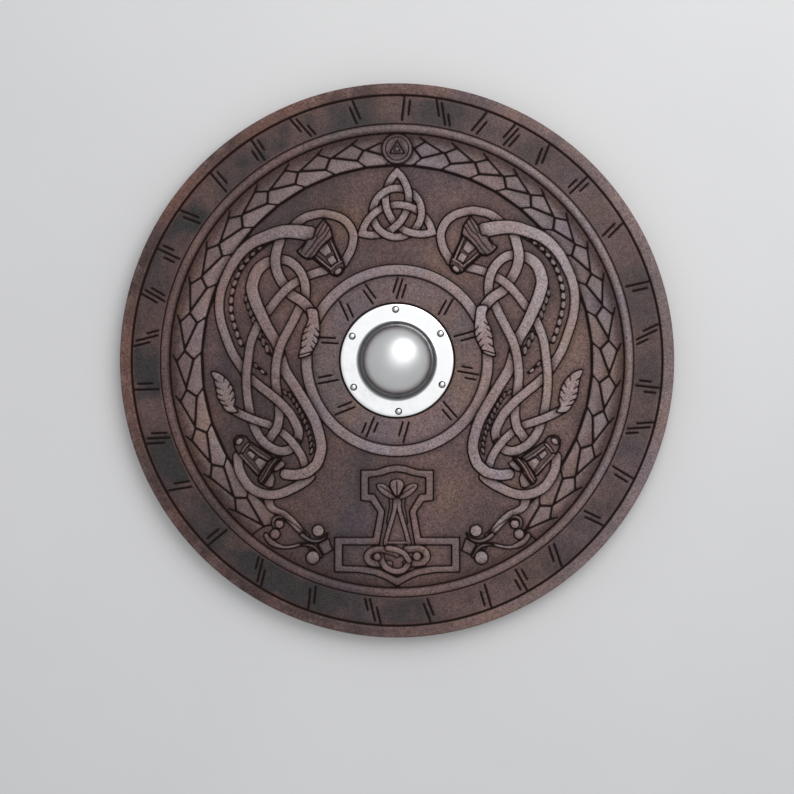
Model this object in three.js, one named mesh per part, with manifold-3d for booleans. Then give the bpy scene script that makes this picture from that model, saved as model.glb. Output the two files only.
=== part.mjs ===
// A round wooden shield, lying on its back. Millimetres, +Z out of the carved face, +Y to the top of the
// carving. The origin is the centre of the flat back. The board is one disc with a hand hole through its
// middle: a plain rim, a marked band, a moulding and a band of scales go round a field with two gripping
// beasts, a three-cornered knot and a hammer. A steel boss covers the hole, held by six rivets, and a wooden
// grip crosses it behind.
import * as THREE from 'three';
import { mergeVertices } from 'three/addons/utils/BufferGeometryUtils.js';
import Module from 'manifold-3d';

const wasm = await Module();
wasm.setup();

// ---- driving dimensions ----
const BOARD_R = 300;
const RIM_Z = 24; // face of the rim, the highest wood
const BAND_Z = 23.2; // face of the marked band
const FIELD_Z = 21; // ground of the field, where the boss sits too
const RIM_IN_R = 286;
const BAND_IN_R = 256;
const MOULD_IN_R = 246;
const RING_OUT_R = 104; // plain raised ring round the boss
const RING_IN_R = 92;
const HOLE_R = 42; // hand hole
const EDGE_BREAK = 2.6;
const RING_CHAMFER = 1;
const MOULD_CHAMFER = 2.4;
const SINK = 1.5; // how far raised carving runs down into the board, so that they join
const STRAND_RISE = 2.1; // top of a strand over the field
const WEAVE_RISE = 0.55; // further up where it crosses over, and down where it dips under
const LEAN = 0.02; // the top half of the carving leans a little to the left
const LEAN_LOW = -60; // the lean starts here and is full at LEAN_HIGH
const LEAN_HIGH = 90;
const GAP = 0.3; // between pieces that touch

const BOSS_FLANGE_R = 61.2;
const BOSS_WALL_R = 44.5;
const BOSS_NECK_R = 37.4;
const BOSS_DOME_R = 38.6;
const BOSS_SHEET = 1.8;
const BOSS_NECK_RISE = 11;
const BOSS_LIP_RISE = 2; // from the neck's top to the dome's widest place
const BOSS_DOME_RISE = 27;
const BOSS_NECK_STEPS = 3;
const BOSS_DOME_STEPS = 5;
const RIVETS = 6;
const RIVET_PCR = 55.2;
const RIVET_TURN = THREE.MathUtils.degToRad(91.7);
const RIVET_HEAD_R = 3.9;
const RIVET_HEAD_RISE = 2.2;
const SHANK_R = 2;
const ROVE_R = 7;
const ROVE_SHEET = 1.4;
const ROVE_SINK = 2.8; // depth of the counterbore that a rove lies in

const GRIP_HALF_L = 75;
const GRIP_HALF_W = 13;
const GRIP_END_T = 14;
const GRIP_MID_T = 20;
const GRIP_ROUND_START = 24; // the middle is round as far as this, and square from GRIP_ROUND_END on
const GRIP_ROUND_END = 40;
const GRIP_WAIST = 1.5; // how much narrower the middle is on each side
const GRIP_SIDES = 12;
const GRIP_SQUARE = 0.3; // powers of the section's superellipse: nearly square, nearly round
const GRIP_ROUND = 0.75;
const NAIL_X = 60;
const NAIL_R = 1.6;
const NAIL_HEAD_R = 4;
const NAIL_HEAD_SINK = 2; // depth of the recess that a nail's head lies in
const NAIL_TIP = 3; // length of a nail's point, and the wood left over it

const PANEL_DROP = 0.5; // fine carving stands this much lower than the strands
const CROWN = 0.35; // leaves stand this much higher

const RING_SEGMENTS = 48;
const BOSS_SEGMENTS = 28;
const RIVET_SIDES = 8;
const TOP_SINK = FIELD_Z - SINK;

// ---- materials ----
const wood = (color) => new THREE.MeshStandardMaterial({ color, roughness: 0.6, metalness: 0 });
const metal = (color, roughness) => new THREE.MeshStandardMaterial({ color, roughness, metalness: 1 });

// ---- closed solids ----
// A three.js geometry as a solid that can be joined and cut.
function solid(geometry) {
  const bare = geometry.index ? geometry.clone() : geometry;
  bare.deleteAttribute('normal');
  bare.deleteAttribute('uv');
  const merged = mergeVertices(bare, 1e-4);
  return new wasm.Manifold(new wasm.Mesh({
    numProp: 3,
    vertProperties: new Float32Array(merged.attributes.position.array),
    triVerts: new Uint32Array(merged.index.array),
  }));
}

function geometryOf(body) {
  const mesh = body.getMesh();
  const geometry = new THREE.BufferGeometry();
  const places = new Float32Array(mesh.vertProperties);
  geometry.setAttribute('position', new THREE.BufferAttribute(places, 3));
  geometry.setIndex(new THREE.BufferAttribute(new Uint32Array(mesh.triVerts), 1));
  geometry.computeVertexNormals();
  return geometry;
}

// A profile of [radius, height] pairs, turned about +Z. It runs anticlockwise, seen with the radius to the
// right.
function turned(profile, segments) {
  const points = profile.map(([r, z]) => new THREE.Vector2(r, z));
  return new THREE.LatheGeometry(points, segments).rotateX(Math.PI / 2);
}

function cylinder(radius, low, high, x, y, sides) {
  const geometry = new THREE.CylinderGeometry(radius, radius, high - low, sides);
  return geometry.rotateX(Math.PI / 2).translate(x, y, (low + high) / 2);
}

// A flat outline of [x, y] pairs, raised from the board up to a height over the field.
function raised(outline, rise, holes = []) {
  const shape = new THREE.Shape(outline.map(([x, y]) => new THREE.Vector2(x, y)));
  for (const hole of holes) {
    shape.holes.push(new THREE.Path(hole.map(([x, y]) => new THREE.Vector2(x, y))));
  }
  const depth = rise + SINK;
  return new THREE.ExtrudeGeometry(shape, { depth, bevelEnabled: false }).translate(0, 0, TOP_SINK);
}

const smooth = (value, low, high) => THREE.MathUtils.smoothstep(value, low, high);
const lean = ([x, y]) => [x, y + LEAN * x * smooth(y, LEAN_LOW, LEAN_HIGH)];
const mirrored = (points, side) => points.map(([x, y]) => lean([side * x, y]));
const polar = (radius, degrees) => {
  const turn = THREE.MathUtils.degToRad(degrees);
  return [radius * Math.cos(turn), radius * Math.sin(turn)];
};

const LONG_STEP = 20; // length of a band's flat stretches
const SHORT_STEP = 10; // and of the small knot's
const BAND_BATTER = 0.86; // a band's top is this much narrower than its foot

// A band of four-sided section that follows a smooth curve through the points. The half width is one number,
// or [start, end] where it changes along the band, and lift(x, y) adds the weave.
function ribbon(points, halfWidth, rise, lift = () => 0, step = LONG_STEP) {
  const knots = points.map(([x, y]) => new THREE.Vector3(x, y, 0));
  const curve = new THREE.CatmullRomCurve3(knots, false, 'centripetal');
  const count = Math.max(3, Math.round(curve.getLength() / step));
  const [wideStart, wideEnd] = Array.isArray(halfWidth) ? halfWidth : [halfWidth, halfWidth];
  const position = [];
  const index = [];
  for (let i = 0; i <= count; i += 1) {
    const t = i / count;
    const at = curve.getPointAt(t);
    const along = curve.getTangentAt(t);
    const across = new THREE.Vector3(-along.y, along.x, 0);
    const half = wideStart + (wideEnd - wideStart) * t;
    const top = FIELD_Z + rise + lift(at.x, at.y);
    const section = [[-1, TOP_SINK], [1, TOP_SINK], [BAND_BATTER, top], [-BAND_BATTER, top]];
    for (const [side, z] of section) {
      position.push(at.x + across.x * half * side, at.y + across.y * half * side, z);
    }
  }
  for (let i = 0; i < count; i += 1) {
    for (let k = 0; k < 4; k += 1) {
      const a = 4 * i + k;
      const b = 4 * i + ((k + 1) % 4);
      index.push(a, b, b + 4, a, b + 4, a + 4);
    }
  }
  const last = 4 * count;
  index.push(0, 2, 1, 0, 3, 2, last, last + 1, last + 2, last, last + 2, last + 3);
  const geometry = new THREE.BufferGeometry();
  geometry.setAttribute('position', new THREE.Float32BufferAttribute(position, 3));
  geometry.setIndex(index);
  return geometry;
}

// ---- the gripping beasts ----
// The centre lines of one beast's bands, on the right of the field. Each runs from where it comes out of a
// head or from under another band to where it goes under again.
const STRANDS = {
  body: {
    half: [7.4, 4.7],
    path: [[98, 141], [126, 141.5], [155, 131], [177, 109], [190, 79], [192, 55], [179, 12], [163, -15]],
  },
  loop_left: {
    half: 4.8,
    path: [[163, -15], [151, -25], [126, -46], [112, -63], [107, -80], [110, -91]],
  },
  loop_right: {
    half: 4.6,
    path: [[110, -91], [127, -98], [142, -91], [151, -79], [157, -63]],
  },
  rein: {
    half: 4.5,
    path: [[157, -63], [162, -38], [163, -15], [159, 16], [146, 48], [119, 80], [101, 92], [80, 99]],
  },
  foreleg: {
    half: 5.2,
    path: [[127, 137], [131, 112], [127, 93], [115, 74], [98, 61], [88, 46]],
  },
  bow: {
    half: [4.4, 6.2],
    path: [[99, 68], [99, 82], [106, 100], [124, 111], [144, 107], [156, 86], [152, 63], [139, 35],
      [127, 13]],
  },
  neck: {
    half: 5.2,
    path: [[127, 13], [121, -10], [98, -48], [85, -77], [83, -100], [93, -118], [108, -124],
      [124, -123]],
  },
  thigh: {
    half: 4.6,
    path: [[99, 68], [118, 34], [130, 5], [131, -25], [128, -46]],
  },
  shin: {
    half: 4.4,
    path: [[128, -46], [128, -62], [133, -77], [139, -87]],
  },
  tail: {
    half: 4,
    path: [[180, -53], [157, -63], [134, -71], [112, -90], [100, -113]],
  },
  under_arc: {
    half: 4.6,
    path: [[94, -126], [112, -138], [136, -145.5], [158, -138], [170, -119], [171, -106]],
  },
  over_arc: {
    half: 4,
    path: [[114, 146], [105, 153.5], [82, 161], [56, 151], [47, 133], [57, 108]],
  },
};
// A beast has a head at each end: a brow across it, a muzzle and a round snout.
const MUZZLE_RISE = 2.7;
const HEADS = [
  {
    brow: [[76, 153], [83, 138], [101, 120]],
    muzzle: [[82, 128], [72, 116], [64, 104]],
    snout: [63.5, 100],
    snoutR: 8,
  },
  {
    brow: [[131, -104], [140, -117], [148, -132]],
    muzzle: [[141, -115], [156, -100], [167, -91]],
    snout: [168.5, -89],
    snoutR: 7.6,
  },
];
const BROW_HALF = [6, 9];
const MUZZLE_HALF = [11, 7.5];
// The two leaves: the forefoot over the ring and the tail's tip.
const LEAVES = [
  { base: [90, 50], bend: [86, 26], tip: [104, 0], half: 9 },
  { base: [177, -54], bend: [180, -32], tip: [200, -9], half: 9.5 },
];
// Where one band crosses another: the place, the band on top and the bands below.
const CROSSINGS = [
  [[163, -15], 'rein', ['body', 'loop_left']],
  [[128, -45], 'loop_left', ['thigh', 'shin']],
  [[110, -90], 'tail', ['loop_left', 'loop_right']],
  [[157, -63], 'tail', ['loop_right', 'rein']],
  [[131, -72], 'shin', ['tail']],
  [[139, -87], 'loop_right', ['shin']],
  [[143, 51], 'bow', ['rein']],
  [[119, 80], 'rein', ['foreleg']],
  [[101, 92], 'bow', ['rein']],
  [[131, 111], 'foreleg', ['bow']],
  [[127, 137], 'body', ['foreleg', 'over_arc']],
  [[100, 66], 'foreleg', ['bow', 'thigh']],
  [[127, 13], 'thigh', ['bow', 'neck']],
  [[101, -112], 'neck', ['tail', 'under_arc']],
];
const WEAVE_REACH = 12;

function weave(name, side) {
  return (x, y) => {
    let lift = 0;
    for (const [at, over, under] of CROSSINGS) {
      const [cx, cy] = lean([side * at[0], at[1]]);
      const near = Math.exp(-((x - cx) ** 2 + (y - cy) ** 2) / WEAVE_REACH ** 2);
      if (over === name) lift += WEAVE_RISE * near;
      if (under.includes(name)) lift -= WEAVE_RISE * near;
    }
    return lift;
  };
}

// A leaf with a pointed tip: its outline swells and closes again along a bent rib.
const LEAF_STEPS = 5;

function leaf({ base, bend, tip, half: widest }) {
  const rib = new THREE.QuadraticBezierCurve(
    new THREE.Vector2(...base), new THREE.Vector2(...bend), new THREE.Vector2(...tip));
  const left = [];
  const right = [];
  for (let i = 0; i <= LEAF_STEPS; i += 1) {
    const t = i / LEAF_STEPS;
    const at = rib.getPoint(t);
    const along = rib.getTangent(t);
    const half = widest * Math.sin(Math.PI * (0.12 + 0.88 * t)) ** 0.8 + 0.05;
    left.push([at.x - along.y * half, at.y + along.x * half]);
    right.unshift([at.x + along.y * half, at.y - along.x * half]);
  }
  return [...left, ...right];
}

function beast(side) {
  const parts = [];
  for (const [name, { half, path }] of Object.entries(STRANDS)) {
    parts.push(ribbon(mirrored(path, side), half, STRAND_RISE, weave(name, side)));
  }
  for (const { brow, muzzle, snout, snoutR } of HEADS) {
    parts.push(ribbon(mirrored(brow, side), BROW_HALF, MUZZLE_RISE));
    parts.push(ribbon(mirrored(muzzle, side), MUZZLE_HALF, MUZZLE_RISE));
    const [x, y] = lean([side * snout[0], snout[1]]);
    parts.push(cylinder(snoutR, TOP_SINK, FIELD_Z + MUZZLE_RISE + 0.2, x, y, 8));
  }
  for (const shape of LEAVES) {
    parts.push(raised(mirrored(leaf(shape), side), STRAND_RISE + CROWN));
  }
  return parts;
}

// ---- the serpents: scales round the field and a head on each side of the hammer ----
const SCALE_PITCH = 9; // degrees
const SCALE_FIRST = 78;
const SCALES = 14;
const SCALE_RISE = 2;
const SCALE_CORNERS = [[-2.6, 229], [0, 241], [5.4, 229.5], [-0.6, 218]]; // [degrees, radius] of a diamond

function scales(side) {
  return Array.from({ length: SCALES }, (_, i) => {
    const at = SCALE_FIRST - i * SCALE_PITCH;
    const corners = SCALE_CORNERS.map(([turn, radius]) => {
      const [x, y] = polar(radius, at - turn);
      return [side * x, y];
    });
    return raised(corners, SCALE_RISE);
  });
}

const SERPENT = {
  upperJaw: {
    half: [4.6, 3.6],
    path: [[137, -150], [133, -160], [118, -166], [106, -177], [98, -187], [90, -190]],
  },
  lowerJaw: {
    half: [4.2, 3],
    path: [[139, -185], [137, -194], [126, -200], [108, -200], [95, -200], [87, -206]],
  },
  curl: {
    half: [3.4, 4.4],
    path: [[122, -168], [132, -171], [138, -181], [139, -187]],
  },
};
const SERPENT_BALLS = [[83.8, -185.5, 7.5], [89, -212.5, 7.8], [127, -177.5, 6], [131.8, -187, 5.8]];
const SERPENT_TOOTH = [[71, -199], [76, -192], [87, -198], [82, -209], [70.5, -205]];

function serpentHead(side) {
  const bands = Object.values(SERPENT);
  const parts = bands.map(({ half, path }) => ribbon(mirrored(path, side), half, STRAND_RISE));
  for (const [x, y, r] of SERPENT_BALLS) {
    parts.push(cylinder(r, TOP_SINK, FIELD_Z + STRAND_RISE + CROWN, side * x, y, 8));
  }
  parts.push(raised(mirrored(SERPENT_TOOTH, side), STRAND_RISE - PANEL_DROP));
  return parts;
}

// ---- the three-cornered knot at the top, with the ring that it is wound round ----
const KNOT_Y = 160;
const KNOT_ARC_R = 39;
const KNOT_ARC_OUT = 30.5; // from the knot's middle to an arc's centre
const KNOT_TIP_R = 44; // from the knot's middle to where two arcs meet
const KNOT_HALF = 4;
const KNOT_RING_R = 27;
const KNOT_STEPS = 5;
const KNOT_TIP = [[-9, -9], [9, -9], [0, 5.5]]; // the point over a corner, when the corner is at the top
const CORNERS = 3;

function triangleKnot() {
  const parts = [];
  const cosine = (KNOT_ARC_OUT ** 2 + KNOT_ARC_R ** 2 - KNOT_TIP_R ** 2) / (2 * KNOT_ARC_OUT * KNOT_ARC_R);
  const sweep = THREE.MathUtils.radToDeg(Math.acos(cosine));
  for (let k = 0; k < CORNERS; k += 1) {
    const away = 150 + (k * 360) / CORNERS;
    const facing = away + 180;
    const [cx, cy] = polar(KNOT_ARC_OUT, away);
    const path = [];
    for (let i = 0; i <= KNOT_STEPS; i += 1) {
      const [x, y] = polar(KNOT_ARC_R, facing + sweep * ((2 * i) / KNOT_STEPS - 1));
      path.push(lean([cx + x, KNOT_Y + cy + y]));
    }
    const wave = (x, y) => {
      const turn = Math.atan2(y - KNOT_Y - cy, x - cx) - THREE.MathUtils.degToRad(facing);
      return WEAVE_RISE * Math.sin(3 * turn);
    };
    parts.push(ribbon(path, KNOT_HALF, STRAND_RISE, wave));
    const [tx, ty] = polar(KNOT_TIP_R, away - 60);
    const turn = THREE.MathUtils.degToRad(away - 150);
    const tip = KNOT_TIP.map(([u, v]) => {
      const x = u * Math.cos(turn) - v * Math.sin(turn);
      const y = u * Math.sin(turn) + v * Math.cos(turn);
      return lean([tx + x, KNOT_Y + ty + y]);
    });
    parts.push(raised(tip, STRAND_RISE + CROWN / 2));
  }
  const low = TOP_SINK;
  const high = FIELD_Z + STRAND_RISE - 0.1;
  const hoop = turned([
    [KNOT_RING_R - KNOT_HALF, low],
    [KNOT_RING_R + KNOT_HALF, low],
    [KNOT_RING_R + KNOT_HALF * BAND_BATTER, high],
    [KNOT_RING_R - KNOT_HALF * BAND_BATTER, high],
    [KNOT_RING_R - KNOT_HALF, low],
  ], 20);
  parts.push(hoop.translate(0, KNOT_Y, 0));
  return parts;
}

// ---- the round badge where the two serpents meet at the top ----
const BADGE_Y = 229;
const BADGE_R = 17;
const BADGE_LIP = 4;
const BADGE_DISH = 1.4;
const BADGE_TRIANGLE_R = 10;

function badge() {
  const top = FIELD_Z + STRAND_RISE + 2 * CROWN;
  const profile = [
    [0, TOP_SINK],
    [BADGE_R, TOP_SINK],
    [BADGE_R - 0.6, top],
    [BADGE_R - BADGE_LIP, top],
    [BADGE_R - BADGE_LIP - 1, top - BADGE_DISH],
    [0, top - BADGE_DISH],
  ];
  const triangle = [90, 210, 330].map((turn) => {
    const [x, y] = polar(BADGE_TRIANGLE_R, turn);
    return [x, BADGE_Y + y];
  });
  return [turned(profile, 16).translate(0, BADGE_Y, 0), raised(triangle, STRAND_RISE + CROWN / 2)];
}

// ---- the hammer at the foot: a raised frame round a sprig and a small knot ----
const HAMMER_OUT = [
  [0, -113], [9, -114], [17, -116.6], [24, -118.6], [39.3, -118.8], [39.3, -151.5], [28.8, -152.8],
  [20.8, -164], [25.8, -191.5], [67.7, -191.5], [67.7, -229], [42, -229.5], [25, -232.2], [15, -236],
  [7, -240.5], [0, -244.5],
];
const HAMMER_IN = [
  [0, -120.6], [8, -121.6], [16, -124.4], [31, -127], [31, -144.3], [24.2, -145], [13.2, -163],
  [19.3, -199.7], [59, -199.7], [59, -222], [35, -222.8], [20, -225.5], [8, -231], [0, -234.7],
];
const PANEL_RISE = STRAND_RISE - PANEL_DROP;
const SPRIG = [[1.5, -149], [12, -146], [22, -133.5]];
const SPRIG_HALF = 4.5;
const STEM = [[1, -149], [2.4, -165], [6.5, -180], [11, -198]];
const STEM_HALF = [3, 2.2];
const STEM_TIE = [[-9, -197.3], [9, -197.3]];
const LOOP = [[0, -204], [14, -219], [28, -219], [33, -211], [26, -204], [12, -205], [0, -215]];
const LOOP_HALF = 3.2;
const PENDANT = [[-18, -214], [-12, -224], [0, -227.5], [12, -224], [18, -214]];
const level = () => 0;

// A closed outline from its right half, which starts and ends on the middle line.
function bothHalves(half) {
  const left = half.slice(1, -1).reverse().map(([x, y]) => [-x, y]);
  return [...half, ...left].map(lean).reverse();
}

function hammer() {
  const parts = [raised(bothHalves(HAMMER_OUT), STRAND_RISE, [bothHalves(HAMMER_IN)])];
  for (const side of [-1, 1]) {
    const across = ([x, y]) => [side * x, y];
    const [base, bend, tip] = SPRIG.map(across);
    parts.push(raised(leaf({ base, bend, tip, half: SPRIG_HALF }), PANEL_RISE));
    parts.push(ribbon(STEM.map(across), STEM_HALF, PANEL_RISE));
    parts.push(ribbon(LOOP.map(across), LOOP_HALF, PANEL_RISE + 0.2 * side, level, SHORT_STEP));
  }
  parts.push(ribbon(STEM_TIE, 1.8, PANEL_RISE));
  parts.push(ribbon(PENDANT, 3, PANEL_RISE + 0.1, level, SHORT_STEP));
  return parts;
}

// ---- the board ----
function rivetPlaces() {
  return Array.from({ length: RIVETS }, (_, k) => {
    const turn = RIVET_TURN + (k * 2 * Math.PI) / RIVETS;
    return [RIVET_PCR * Math.cos(turn), RIVET_PCR * Math.sin(turn)];
  });
}

function boardGeometry() {
  const strandTop = FIELD_Z + STRAND_RISE;
  const disc = turned([
    [HOLE_R, 0],
    [BOARD_R - EDGE_BREAK, 0],
    [BOARD_R, EDGE_BREAK],
    [BOARD_R, RIM_Z - EDGE_BREAK],
    [BOARD_R - EDGE_BREAK, RIM_Z],
    [RIM_IN_R + RING_CHAMFER, RIM_Z],
    [RIM_IN_R - RING_CHAMFER, BAND_Z],
    [BAND_IN_R, BAND_Z],
    [BAND_IN_R - MOULD_CHAMFER, RIM_Z],
    [MOULD_IN_R + MOULD_CHAMFER, RIM_Z],
    [MOULD_IN_R, FIELD_Z],
    [RING_OUT_R, FIELD_Z],
    [RING_OUT_R - RING_CHAMFER, strandTop],
    [RING_IN_R + RING_CHAMFER, strandTop],
    [RING_IN_R, FIELD_Z],
    [HOLE_R, FIELD_Z],
    [HOLE_R, 0],
  ], RING_SEGMENTS);
  const carving = [badge(), triangleKnot(), hammer()];
  for (const side of [1, -1]) {
    carving.push(beast(side), scales(side), serpentHead(side));
  }
  let board = solid(disc);
  for (const piece of carving.flat()) {
    board = board.add(solid(piece));
  }
  const housing = [GRIP_HALF_L, GRIP_HALF_W, GRIP_END_T].map((half) => 2 * (half + GAP));
  board = board.subtract(solid(new THREE.BoxGeometry(...housing)));
  for (const [x, y] of rivetPlaces()) {
    board = board.subtract(solid(cylinder(SHANK_R + GAP, -1, FIELD_Z + 1, x, y, RIVET_SIDES)));
    board = board.subtract(solid(cylinder(ROVE_R + 1, -1, ROVE_SINK, x, y, 12)));
  }
  for (const x of [-NAIL_X, NAIL_X]) {
    board = board.subtract(solid(cylinder(NAIL_R + GAP, 1, FIELD_Z - NAIL_TIP + 1, x, 0, 6)));
  }
  return geometryOf(board);
}

// ---- the boss: a flange, a short concave neck and a dome, of one sheet ----
function bossOutline(offset) {
  const outline = [];
  const seat = FIELD_Z + GAP;
  const neckTop = seat + BOSS_SHEET + BOSS_NECK_RISE;
  for (let i = 0; i <= BOSS_NECK_STEPS; i += 1) {
    const turn = (Math.PI / 2) * (i / BOSS_NECK_STEPS);
    const radius = BOSS_WALL_R - (BOSS_WALL_R - BOSS_NECK_R) * Math.sin(turn);
    outline.push([radius - offset, seat + BOSS_SHEET - offset + BOSS_NECK_RISE * (1 - Math.cos(turn))]);
  }
  for (let i = 0; i <= BOSS_DOME_STEPS; i += 1) {
    const turn = (Math.PI / 2) * (i / BOSS_DOME_STEPS);
    const radius = (BOSS_DOME_R - offset) * Math.cos(turn);
    outline.push([radius, neckTop + BOSS_LIP_RISE + (BOSS_DOME_RISE - offset) * Math.sin(turn)]);
  }
  return outline;
}

function bossGeometry() {
  const seat = FIELD_Z + GAP;
  const outside = bossOutline(0);
  const inside = bossOutline(BOSS_SHEET).reverse();
  const profile = [
    ...inside,
    [BOSS_WALL_R - BOSS_SHEET, seat],
    [BOSS_FLANGE_R, seat],
    [BOSS_FLANGE_R, seat + BOSS_SHEET],
    ...outside,
  ];
  let boss = solid(turned(profile, BOSS_SEGMENTS));
  for (const [x, y] of rivetPlaces()) {
    const hole = cylinder(SHANK_R + GAP, FIELD_Z - 1, seat + BOSS_SHEET + 1, x, y, RIVET_SIDES);
    boss = boss.subtract(solid(hole));
  }
  return geometryOf(boss);
}

// ---- fastenings ----
// A rivet: a low domed head on the flange and a shank down to its rove.
function rivetGeometry() {
  const seat = FIELD_Z + 2 * GAP + BOSS_SHEET;
  const foot = GAP * 2;
  const shoulder = Math.SQRT1_2;
  return turned([
    [0, foot],
    [SHANK_R, foot],
    [SHANK_R, seat],
    [RIVET_HEAD_R, seat],
    [RIVET_HEAD_R * shoulder, seat + RIVET_HEAD_RISE * shoulder],
    [0, seat + RIVET_HEAD_RISE],
  ], RIVET_SIDES);
}

// A rove: the washer that the rivet is closed over, in its counterbore in the back.
function roveGeometry() {
  const low = ROVE_SINK - GAP - ROVE_SHEET;
  const high = ROVE_SINK - GAP;
  const inner = SHANK_R + GAP;
  const profile = [[inner, low], [ROVE_R, low], [ROVE_R, high], [inner, high], [inner, low]];
  return turned(profile, RIVET_SIDES);
}

// The grip: a bar with square ends let into the back and a rounded middle for the hand.
function gripGeometry() {
  const half = [GRIP_HALF_L, GRIP_ROUND_END, 34, 18];
  const stations = [...half.map((x) => -x), 0, ...half.reverse()];
  const sides = GRIP_SIDES;
  const position = [];
  const index = [];
  for (const x of stations) {
    const round = 1 - smooth(Math.abs(x), GRIP_ROUND_START, GRIP_ROUND_END);
    const top = GRIP_END_T + (GRIP_MID_T - GRIP_END_T) * round;
    const power = GRIP_SQUARE + (GRIP_ROUND - GRIP_SQUARE) * round;
    for (let k = 0; k < sides; k += 1) {
      const turn = (2 * Math.PI * (k + 0.5)) / sides;
      const across = Math.sign(Math.cos(turn)) * Math.abs(Math.cos(turn)) ** power;
      const up = Math.sign(Math.sin(turn)) * Math.abs(Math.sin(turn)) ** power;
      const wide = GRIP_HALF_W - GRIP_WAIST * round;
      position.push(x, wide * across, GAP + (top - GAP) * (0.5 + 0.5 * up));
    }
  }
  for (let i = 0; i < stations.length - 1; i += 1) {
    for (let k = 0; k < sides; k += 1) {
      const a = sides * i + k;
      const b = sides * i + ((k + 1) % sides);
      index.push(a, b, b + sides, a, b + sides, a + sides);
    }
  }
  const last = sides * (stations.length - 1);
  for (let k = 1; k < sides - 1; k += 1) {
    index.push(0, k + 1, k, last, last + k, last + k + 1);
  }
  const bar = new THREE.BufferGeometry();
  bar.setAttribute('position', new THREE.Float32BufferAttribute(position, 3));
  bar.setIndex(index);
  let grip = solid(bar);
  for (const x of [-NAIL_X, NAIL_X]) {
    grip = grip.subtract(solid(cylinder(NAIL_R + GAP, -1, GRIP_END_T + 1, x, 0, 6)));
    grip = grip.subtract(solid(cylinder(NAIL_HEAD_R + GAP, -1, NAIL_HEAD_SINK, x, 0, RIVET_SIDES)));
  }
  return geometryOf(grip);
}

// A nail that holds an end of the grip, its flat head let in flush.
function nailGeometry() {
  const low = GAP;
  const shoulder = NAIL_HEAD_SINK - GAP;
  const tip = FIELD_Z - NAIL_TIP;
  return turned([
    [0, low],
    [NAIL_HEAD_R, low],
    [NAIL_HEAD_R, shoulder],
    [NAIL_R, shoulder],
    [NAIL_R, tip - NAIL_TIP],
    [0, tip],
  ], RIVET_SIDES);
}

// ---- the shield ----
const shield = new THREE.Group();

function place(name, geometry, material, x = 0, y = 0) {
  const mesh = new THREE.Mesh(geometry, material);
  mesh.name = name;
  mesh.position.set(x, y, 0);
  shield.add(mesh);
}

place('board', boardGeometry(), wood('#5d4640'));
place('boss', bossGeometry(), metal('#b9bab8', 0.35));
place('grip', gripGeometry(), wood('#6d5240'));
rivetPlaces().forEach(([x, y], k) => {
  place(`boss_rivet_${k + 1}`, rivetGeometry(), metal('#c9c9c6', 0.3), x, y);
  place(`rove_${k + 1}`, roveGeometry(), metal('#8d8c88', 0.5), x, y);
});
[-NAIL_X, NAIL_X].forEach((x, k) => {
  place(`grip_nail_${k + 1}`, nailGeometry(), metal('#6f6c68', 0.55), x);
});

export default shield;
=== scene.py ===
"""A round wooden shield lying on its back on a pale floor, its carved face up.

The board is one closed surface of rings: the face with all its carving, the rounded edge, the flat back
and the wall of the hand hole. The boss, its rivets and roves, the grip and its nails are turned or swept
surfaces. Shapes on the face are worked out in millimetres, from its centre, with +Y to the carving's top.
"""

import math

import bmesh
import bpy
import numpy as np
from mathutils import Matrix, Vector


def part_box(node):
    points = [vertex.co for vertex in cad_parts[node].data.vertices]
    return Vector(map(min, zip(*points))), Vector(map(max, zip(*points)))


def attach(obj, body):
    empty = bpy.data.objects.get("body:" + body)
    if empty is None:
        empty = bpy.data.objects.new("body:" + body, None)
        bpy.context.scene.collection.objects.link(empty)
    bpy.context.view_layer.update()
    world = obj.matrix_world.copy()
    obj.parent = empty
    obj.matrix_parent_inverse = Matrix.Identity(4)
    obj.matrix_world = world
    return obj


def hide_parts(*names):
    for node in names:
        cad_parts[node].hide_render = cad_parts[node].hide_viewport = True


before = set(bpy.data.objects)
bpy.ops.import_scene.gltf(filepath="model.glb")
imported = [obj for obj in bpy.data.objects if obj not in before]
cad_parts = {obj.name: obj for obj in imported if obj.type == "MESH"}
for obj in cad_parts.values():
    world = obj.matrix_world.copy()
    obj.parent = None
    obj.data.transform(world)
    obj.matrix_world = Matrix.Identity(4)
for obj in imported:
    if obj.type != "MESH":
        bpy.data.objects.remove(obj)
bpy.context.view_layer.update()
bpy.context.scene.view_settings.view_transform = "Standard"

# ---- sizes, in millimetres, from the frame ----
MM = 0.001
_, board_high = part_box("board")
boss_low, boss_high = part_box("boss")
_, grip_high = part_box("grip")
BOX_GAP = 0.02
BOARD_R = board_high.x / MM - BOX_GAP
BOSS_R = boss_high.x / MM
BOSS_SEAT = boss_low.z / MM
BOSS_TOP = boss_high.z / MM
RIM_Z = 24.0
BAND_Z = 23.2
FIELD_Z = 21.0
RIM_IN_R = 286.0
BAND_IN_R = 256.0
MOULD_IN_R = 246.0
SCALES_IN_R = 212.0
HOLE_R = 42.0
EDGE_R = 2.6
RING_R = 98.0
RING_HALF = 6.0
STRAND_RISE = 2.1

COLUMNS = 2200
FACE_STEP = 0.85
BOARD_TRIANGLES = 194000


# ---- lines and outlines ----
def smooth(value, low, high):
    """0 below low, 1 above high, and the cubic 3t^2 - 2t^3 between."""
    t = np.clip((np.asarray(value, float) - low) / (high - low), 0.0, 1.0)
    return t * t * (3.0 - 2.0 * t)


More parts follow.
